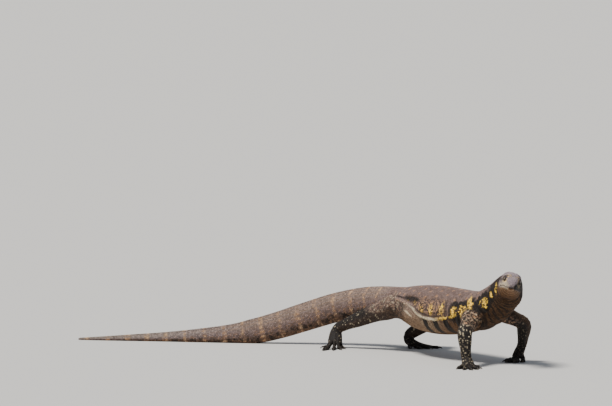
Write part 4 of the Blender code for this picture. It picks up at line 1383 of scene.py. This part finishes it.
class Wire:
    """A number's socket. An expression on it adds Math nodes to its material."""

    def __init__(self, tree, socket):
        self.tree, self.socket = tree, socket

    def math(self, operation, *values):
        node = self.tree.nodes.new("ShaderNodeMath")
        node.operation = operation
        for slot, value in zip(node.inputs, values):
            feed(self.tree, slot, value)
        return Wire(self.tree, node.outputs[0])

    def __add__(self, other):
        return self.math("ADD", self, other)

    def __sub__(self, other):
        return self.math("SUBTRACT", self, other)

    def __rsub__(self, other):
        return self.math("SUBTRACT", other, self)

    def __mul__(self, other):
        return self.math("MULTIPLY", self, other)

    def __pow__(self, other):
        return self.math("POWER", self, other)

    __radd__ = __add__
    __rmul__ = __mul__


def feed(tree, slot, value):
    """Links a wire or a socket to a slot, or sets its value."""
    if isinstance(value, Wire):
        tree.links.new(value.socket, slot)
    elif isinstance(value, bpy.types.NodeSocket):
        tree.links.new(value, slot)
    else:
        slot.default_value = (*value, 1.0) if slot.type == "RGBA" and len(value) == 3 else value


class Finish:
    """A material and the nodes that make it."""

    def __init__(self, name, **fixed):
        self.material = bpy.data.materials.new(name)
        self.material.use_nodes = True
        self.tree = self.material.node_tree
        self.shader = self.tree.nodes["Principled BSDF"]
        for key, value in fixed.items():
            self.shader.inputs[key.replace("_", " ")].default_value = value

    def node(self, kind, settings=None, inputs=None):
        """A node of this type, with its settings made first and then its sockets fed."""
        node = self.tree.nodes.new("ShaderNode" + kind)
        for key, value in (settings or {}).items():
            if key == "stops":
                for place, colour in value[len(node.color_ramp.elements):]:
                    node.color_ramp.elements.new(place)
                for stop, (place, colour) in zip(node.color_ramp.elements, value):
                    stop.position, stop.color = place, (*colour, 1.0)
            else:
                setattr(node, key, value)
        for key, value in (inputs or {}).items():
            feed(self.tree, node.inputs[key], value)
        return node

    def set(self, **values):
        """Feeds sockets of the shader, named with underscores for spaces."""
        for key, value in values.items():
            feed(self.tree, self.shader.inputs[key.replace("_", " ")], value)

    def parts(self, name):
        """The three numbers of a vector attribute."""
        vector = self.node("Attribute", dict(attribute_name=name)).outputs["Vector"]
        split = self.node("SeparateXYZ", inputs={"Vector": vector})
        return [Wire(self.tree, out) for out in split.outputs]

    def number(self, name):
        """The number of an attribute."""
        return Wire(self.tree, self.node("Attribute", dict(attribute_name=name)).outputs["Fac"])

    def cloud(self, size, detail=2.0):
        """Noise with features of this size in millimetres, from 0 to 1."""
        inputs = {"Vector": self.node("TexCoord").outputs["Object"], "Scale": 1000.0 / size, "Detail": detail}
        return Wire(self.tree, self.node("TexNoise", inputs=inputs).outputs["Fac"])

    def mix(self, share, first, second, blend="MIX"):
        """Two colours mixed by a share. Slots 6 and 7 are the node's slots for colours."""
        node = self.node("Mix", dict(data_type="RGBA", blend_type=blend))
        for slot, value in ((0, share), (6, first), (7, second)):
            feed(self.tree, node.inputs[slot], value)
        return node.outputs[2]

    def ramp(self, value, stops):
        """Colours by value, from stops of (value, colour)."""
        return self.node("ValToRGB", dict(stops=stops), {"Fac": value}).outputs["Color"]

    def bump(self, height, distance, strength=1.0):
        """A normal from a height, with this depth in millimetres."""
        inputs = {"Height": height, "Distance": distance * 0.001, "Strength": strength}
        return self.node("Bump", inputs=inputs).outputs["Normal"]


# The hide's two grounds, the colours of its marks, and dust. The belly's dark tan is also painted shade of
# the undersides, and the lavender is a painted sky sheen.
GREY_BACK = (0.168, 0.115, 0.100)
TAN_BELLY = (0.108, 0.053, 0.022)
LAVENDER = (0.27, 0.22, 0.235)
BLACK = (0.010, 0.0085, 0.0075)
GOLD = (0.98, 0.62, 0.07)
CREAM = (0.60, 0.50, 0.34)
SALMON = (0.42, 0.23, 0.12)
DUST = (0.30, 0.235, 0.18)


def hide_finish(name, depth, grain, roughness):
    """Reptile hide: the body's marks over a grey back and a tan belly, with dust, wear and a fine grain, all
    times a depth factor, which on the skin seen between the scales paints shade.
    """
    finish = Finish(name, Specular_IOR_Level=0.22)
    dark, gold, pale = finish.parts("marks")
    tan, warm, cool = finish.parts("grounds")
    own, dust, fine = finish.number("own"), finish.cloud(9.0, 3.0), finish.cloud(0.9, 2.0)
    # The belly tan over the undersides is dark also as painted shade
    colour = finish.mix(warm, GREY_BACK, TAN_BELLY)
    # Lavender painted over the tops as a sky sheen
    colour = finish.mix(cool, colour, LAVENDER)
    colour = finish.mix(tan, colour, SALMON)
    colour = finish.mix(dark, colour, BLACK)
    colour = finish.mix(gold, colour, GOLD)
    colour = finish.mix(pale, colour, CREAM)
    # Depth darkens the skin between the scales as painted shade
    light = (0.40 + 0.96 * own + 0.34 * dust + 0.16 * fine) * depth
    grey = finish.node("CombineXYZ", inputs={0: light, 1: light, 2: light}).outputs[0]
    colour = finish.mix(1.0, colour, grey, "MULTIPLY")
    dusty = (dust - 0.52) * 0.3 * (1 - dark)
    colour = finish.mix(dusty, colour, DUST)
    finish.set(
        Base_Color=colour,
        Roughness=roughness + 0.16 * (dust - 0.5) + 0.12 * (fine - 0.5) - 0.08 * dark,
        Normal=finish.bump(finish.cloud(grain, 3.0), 0.12, 0.6),
    )
    return finish.material


def claw_finish():
    """Dark horn, streaked along its length and worn paler at the tip."""
    finish = Finish("claw_horn", Specular_IOR_Level=0.5)
    tip = finish.number("tip")
    streak = finish.cloud(1.2, 4.0)
    colour = finish.mix(tip ** 2.0 * 0.7, (0.018, 0.014, 0.011), (0.11, 0.08, 0.055))
    colour = finish.mix(streak * 0.35, colour, (0.055, 0.042, 0.032))
    finish.set(Base_Color=colour, Roughness=0.30 + 0.2 * streak, Normal=finish.bump(streak, 0.08, 0.5))
    return finish.material


def eye_finish():
    """A round black pupil in a gold-brown iris that darkens at its rim, under a wet coat."""
    finish = Finish("eye", Specular_IOR_Level=0.6, Coat_Roughness=0.02)
    ring = finish.number("ring")
    colour = finish.ramp(ring, [
        (0.0, (0.002, 0.002, 0.002)), (0.205, (0.002, 0.002, 0.002)), (0.23, (0.30, 0.15, 0.035)),
        (0.34, (0.16, 0.07, 0.02)), (0.46, (0.05, 0.024, 0.010)), (0.52, (0.006, 0.004, 0.003)),
        (1.0, (0.010, 0.007, 0.006)),
    ])
    fleck = finish.cloud(0.5, 3.0)
    colour = finish.mix(0.35 * fleck, colour, (0.01, 0.006, 0.004))
    finish.set(Base_Color=colour, Roughness=0.06 + 0.05 * fleck, Coat_Weight=1.0)
    return finish.material


def make_eye(side, name, material):
    """An eyeball whose radius grows by a bell of the angle from its way out. Ring is that angle over 1.6."""
    centre, axes = head.eye_axes(side)
    polar = np.linspace(0.02, math.pi - 0.02, 48)[:, None]
    radius = EYE_RADIUS * (0.975 + 0.025 * bump(polar, 0.5))
    obj = grid(name, centre + sphere(polar, angles(EYE_SIDES)) * radius[..., None] @ np.array(axes))
    put_number(obj.data, "ring", np.append(np.repeat(polar[:, 0], EYE_SIDES), (0.0, math.pi)) / 1.6)
    shade_smooth(obj.data)
    obj.data.materials.append(material)
    return obj


def make_claw(name, start, yaw, material):
    """A hooked cone: its pitch turns from 20 degrees up to 60 down along its length, keeled above."""
    t = np.linspace(0, 1, 22)
    pitch = np.radians(20 - 80 * t)
    step = CLAW_LENGTH / (len(t) - 1)
    level = np.append(0, np.cumsum(np.cos(pitch[:-1]) * step))
    high = np.append(0, np.cumsum(np.sin(pitch[:-1]) * step))
    way = heading(yaw)
    centre = start + level[:, None] * way + high[:, None] * UP
    centre[:, 2] = np.maximum(centre[:, 2], LOWEST_CLAW_LINE)
    size = ((1 - t) ** 0.75 * 0.94 + 0.05)[:, None]
    left = unit(np.cross(UP, way))
    tilt = pitch * (t > 0)
    up = np.cos(tilt)[:, None] * UP - np.sin(tilt)[:, None] * way
    angle = angles(CLAW_SIDES)
    wide, tall = CLAW_SIZE
    keel = 1 + 0.12 * np.cos(angle) ** 3
    across = left * (size * wide * np.sin(angle))[..., None]
    rings = centre[:, None] + across + up[:, None] * (size * tall * keel * np.cos(angle))[..., None]
    rings[..., 2] = np.maximum(rings[..., 2], LOWEST_SCALE)
    obj = grid(name, rings)
    put_number(obj.data, "tip", np.append(np.repeat(t, CLAW_SIDES), (0.0, 1.0)))
    shade_smooth(obj.data)
    obj.data.materials.append(material)
    return obj


def rows_of(region, reach, wanted=None, crowded=None):
    """Adds to a region how far a root may move to reach the skin, which are wanted, and which are crowded."""
    count = len(region["root"])
    region["reach"] = np.full(count, reach)
    region["wanted"] = np.ones(count, bool) if wanted is None else wanted
    region["crowded"] = np.ones(count, bool) if crowded is None else crowded
    return region


def raised(region):
    """The region with its roots moved out by the skin's relief, so that they land evenly on its folds."""
    for key in ("root", "back", "beside"):
        points = region[key]
        high = relief(points, trunk_line.locate(points), clear_of(points))
        region[key] = points + unit(points - region["inside"]) * high[:, None]
    return region


def clear_of_limbs(region):
    """Wanted roots of the trunk lie outside every limb, and those near one are crowded."""
    outside = clear_of(region["root"])
    return rows_of(raised(region), 10.0, outside > -1.0, outside < 12)


def part_of(region, chosen):
    """The chosen scales of a region."""
    return {key: value[chosen] for key, value in region.items()}


def coat_of_trunk():
    """Rows of the tail, torso and neck, each in pieces small enough."""
    def keeled(s, share):
        off = np.minimum(share, 1 - share) * 3.2 * table(spine.sizes, s).mean(axis=1)
        crest = smooth(0, 120, spine.vent - s) * bump(off - 1.6, 1.5)
        return 0.55 + 0.25 * smooth(0, 80, spine.vent - s) + crest * np.interp(s, (0, 120), (0.4, 1))

    def plain(s, share):
        return np.where(np.abs(share - 0.5) < 0.2, 0.4, 0.62)

    def nape(s, share):
        return 0.5 - 0.2 * smooth(spine.end - 22, spine.end, s)

    vent, neck, half = spine.vent, spine.neck, 0.42 * spine.vent
    rear = spaced(5, half, [(0, TAIL_TIP_SCALE[0]), (half, TAIL_SCALE[0])])
    width = np.interp(rear, (0, half), (TAIL_TIP_SCALE[1], TAIL_SCALE[1]))
    yield "coat_tail_rear", [rows_of(scale_rows(spine.rings, rear, width, keeled, -1), 6.0)]
    front = spaced(half, vent, [(half, TAIL_SCALE[0]), (vent, TAIL_SCALE[0])])
    yield "coat_tail_front", [clear_of_limbs(scale_rows(spine.rings, front, TAIL_SCALE[1], keeled, -1))]
    torso = spaced(vent, neck, [(vent, TORSO_SCALE[0]), (neck, TORSO_SCALE[0])])
    rows = clear_of_limbs(scale_rows(spine.rings, torso, TORSO_SCALE[1], plain, -1))
    yield "coat_torso_left", [part_of(rows, rows["share"] < 0.5)]
    yield "coat_torso_right", [part_of(rows, rows["share"] >= 0.5)]
    collar = spaced(neck, spine.end - 1.2, [(neck, NECK_SCALE[0]), (spine.end, HEAD_SCALE[0] * 1.15)])
    width = np.interp(collar, (neck, spine.end), (NECK_SCALE[1], HEAD_SCALE[1] * 1.1))
    yield "coat_neck", [clear_of_limbs(scale_rows(spine.rings, collar, width, nape, -1))]


def coat_of_head():
    """Rows of the head from snout to nape, and rings of small scales on each eye's lids."""
    def surface(behind, share):
        return head.rings(behind, share, evenly=True)

    def lid_surface(side):
        centre, axes = head.eye_axes(side)

        def over(polar, share):
            polar = np.radians(np.atleast_1d(polar))[:, None]
            spot = sphere(polar, np.asarray(share) * 2 * math.pi) * LID_SHAPE
            return centre + LID_RADIUS * spot @ np.array(axes)
        return over

    behind = spaced(1.2, HEAD_LENGTH, [(0, 1.1), (20, 1.4), (HEAD_LENGTH, HEAD_SCALE[0])])
    width = np.interp(behind, (0, 25, HEAD_LENGTH), (1.1, 1.35, HEAD_SCALE[1]))
    rows = raised(scale_rows(surface, behind, width, 0.3, 1, (0, 0, 1, 0.8)))
    radius = eye_distance(rows["root"])[0]
    nape = smooth(HEAD_LENGTH - 24, HEAD_LENGTH - 8, head.place(rows["root"])[0])
    regions = [rows_of(rows, 1.6 + 4.4 * nape, radius > 8.3, radius < 11)]
    polar = spaced(40, 96, [(40, 7.5), (96, 8.5)])
    for k, side in enumerate((1, -1)):
        plot = (0.02, 0.82 + 0.09 * k, 0.9, 0.08)
        regions.append(rows_of(scale_rows(lid_surface(side), polar, LID_SCALE, 0.2, 1, plot), 0.7))
    yield "coat_head", regions


def coat_of_limbs():
    """Rows of each limb, close together at its root, and of its digits."""
    for name, limb in limbs.items():
        girdle, upper, lower, palm = LIMB_SCALE[0] / np.array(limb.lengths)
        at = spaced(0.22, 3.96, [
            (0.22, girdle), (0.45, girdle), (0.6, CLOSE_ROWS * girdle), (0.99, CLOSE_ROWS * girdle),
            (1.0, CLOSE_ROWS * upper), (1.2, CLOSE_ROWS * upper), (1.35, upper), (1.99, upper),
            (2.0, lower), (2.99, lower), (3.0, 0.85 * palm), (3.96, 0.8 * palm),
        ])
        width = np.interp(at, (0, 3, 4), (LIMB_SCALE[1], 0.9 * LIMB_SCALE[1], 0.85 * LIMB_SCALE[1]))
        rows = scale_rows(limb.rings, at, width, 0.42, 1, (0, 0, 1, 0.55))
        outside = trunk_line.locate(rows["root"])["outside"]
        place = limb_lines[name].locate(rows["root"])["place"]
        crowded = (outside < 12) | (place < 1.4) | (place > 3.0)
        regions = [rows_of(rows, np.where(outside < 12, 10.0, 5.0), outside > -1.0, crowded)]
        for i, digit in limb.digits():
            step = DIGIT_SCALE[0] / digit.length
            plot = (0, 0.57 + 0.085 * (i - 1), 1, 0.08)
            t = spaced(0.12, 0.98, [(0, step), (1, 0.8 * step)])
            regions.append(rows_of(scale_rows(digit.rings, t, DIGIT_SCALE[1], 0.38, 1, plot), 0.9))
        yield f"coat_{name}", regions


def make_floor():
    """A plain pale sheet just under the feet, wide enough to fill the view behind the animal."""
    mesh = bpy.data.meshes.new("floor")
    corners = [(-FLOOR, -FLOOR, 0), (FLOOR, -FLOOR, 0), (FLOOR, FLOOR, 0), (-FLOOR, FLOOR, 0)]
    mesh.from_pydata(corners, [], [(0, 1, 2, 3)])
    floor = placed("floor", mesh)
    finish = Finish("floor_paint")
    tone = finish.cloud(900.0, 2.0)
    colour = finish.mix(0.25 * tone, (0.62, 0.61, 0.585), (0.56, 0.55, 0.53))
    finish.set(Base_Color=colour, Roughness=0.75 + 0.1 * tone)
    mesh.materials.append(finish.material)


def make_lights():
    """A wide soft key from above and to the left of the camera, and an even pale surround."""
    key = bpy.data.lights.new("key", "SUN")
    key.energy, key.angle, key.color = 4.8, math.radians(16), (1.0, 0.965, 0.91)
    placed("key", key).rotation_euler = (-Vector(heading(-88, 62))).to_track_quat("-Z", "Y").to_euler()
    world = bpy.data.worlds.new("studio")
    world.use_nodes = True
    surround = world.node_tree.nodes["Background"]
    surround.inputs["Color"].default_value = (0.80, 0.87, 1.0, 1.0)
    surround.inputs["Strength"].default_value = 0.38
    bpy.context.scene.world = world


def make_camera():
    """The photograph's view: level turn and height of the camera, and a lens that gives its scale."""
    azimuth, elevation = CAMERA_WAY
    back = Vector(heading(azimuth - 90, elevation))
    lens = bpy.data.cameras.new("camera")
    lens.sensor_width = 36.0
    lens.lens = lens.sensor_width * CAMERA_DISTANCE * PIXELS_PER_METRE / PICTURE[0]
    lens.clip_end = 200.0
    camera = placed("camera", lens)
    camera.location = Vector(to_frame(CAMERA_AIM)) + back * CAMERA_DISTANCE
    camera.rotation_euler = (-back).to_track_quat("-Z", "Y").to_euler()
    bpy.context.scene.camera = camera


def paint_hollow_shade(points, marks):
    """The insides of the sockets, nostrils, ears and mouth are painted dark as shade."""
    radius, out, fore, rise = eye_distance(points)
    rim = np.hypot(fore / EYE_OPENING[0], rise / EYE_OPENING[1])
    inside = (radius < EYE_RADIUS + 0.9) | ((radius < 8.4) & (out > 0) & (rim < 1.06))
    for side in (1, -1):
        inside |= np.linalg.norm(points - head.nostril(side)[0], axis=1) < 1.9
        ear = (points - head.beside(EAR_AT, side)) @ np.array((head.forward, head.left, head.up)).T
        inside |= np.linalg.norm(ear / EAR_SIZE, axis=1) < 1.06
    behind, _, up = head.place(points)
    line = (np.abs(up - mouth_line(behind)) < 0.35) & (behind > -2) & (behind < MOUTH_CORNER)
    inside |= line & (trunk_line.locate(points)["place"] > spine.end)
    marks["dark"] = np.where(inside, 1.0, marks["dark"])
    for key in ("gold", "pale"):
        marks[key] = np.where(inside, 0.0, marks[key])
    return marks


def main():
    make_camera()
    make_lights()
    make_floor()
    skin = make_skin()
    points = positions(skin.data)
    marks = paint_hollow_shade(points, markings(points))
    put_marks(skin.data, marks, 0.5 + 0.5 * noise(points, 2.5, 77))
    skin.data.materials.clear()
    # The skin between the scales darkened to 0.55 as painted shade
    skin.data.materials.append(hide_finish("hide", 0.55, 0.5, 0.7))
    skin.data.polygons.foreach_set("material_index", [0] * len(skin.data.polygons))
    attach(skin, "root")
    flesh = [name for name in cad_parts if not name.startswith(("claw", "eye"))]
    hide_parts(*flesh)
    print("skin", len(skin.data.polygons), "faces", len(points), "points")
    scale = hide_finish("scale", 1.08, 0.35, 0.58)
    for source in (coat_of_trunk, coat_of_head, coat_of_limbs):
        for name, regions in source():
            coat = make_coat(name, skin, regions, scale)
            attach(coat, "root")
    wet = eye_finish()
    for side, name in ((1, "left"), (-1, "right")):
        eye = make_eye(side, f"eyeball_{name}", wet)
        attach(eye, "root")
        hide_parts(f"eye_{name}")
    horn = claw_finish()
    for name, limb in limbs.items():
        side_name = name.split("_")[1]
        node = limb.spec["tip"]["names"][1]
        for i, digit in limb.digits():
            start = digit.centre(np.array([1.0]))[0] + heading(digit.yaw) * GAP
            claw = make_claw(f"talon_{name}_{i}", start, digit.yaw, horn)
            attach(claw, "root")
            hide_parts(f"{node}_{side_name}_{i}")


main()
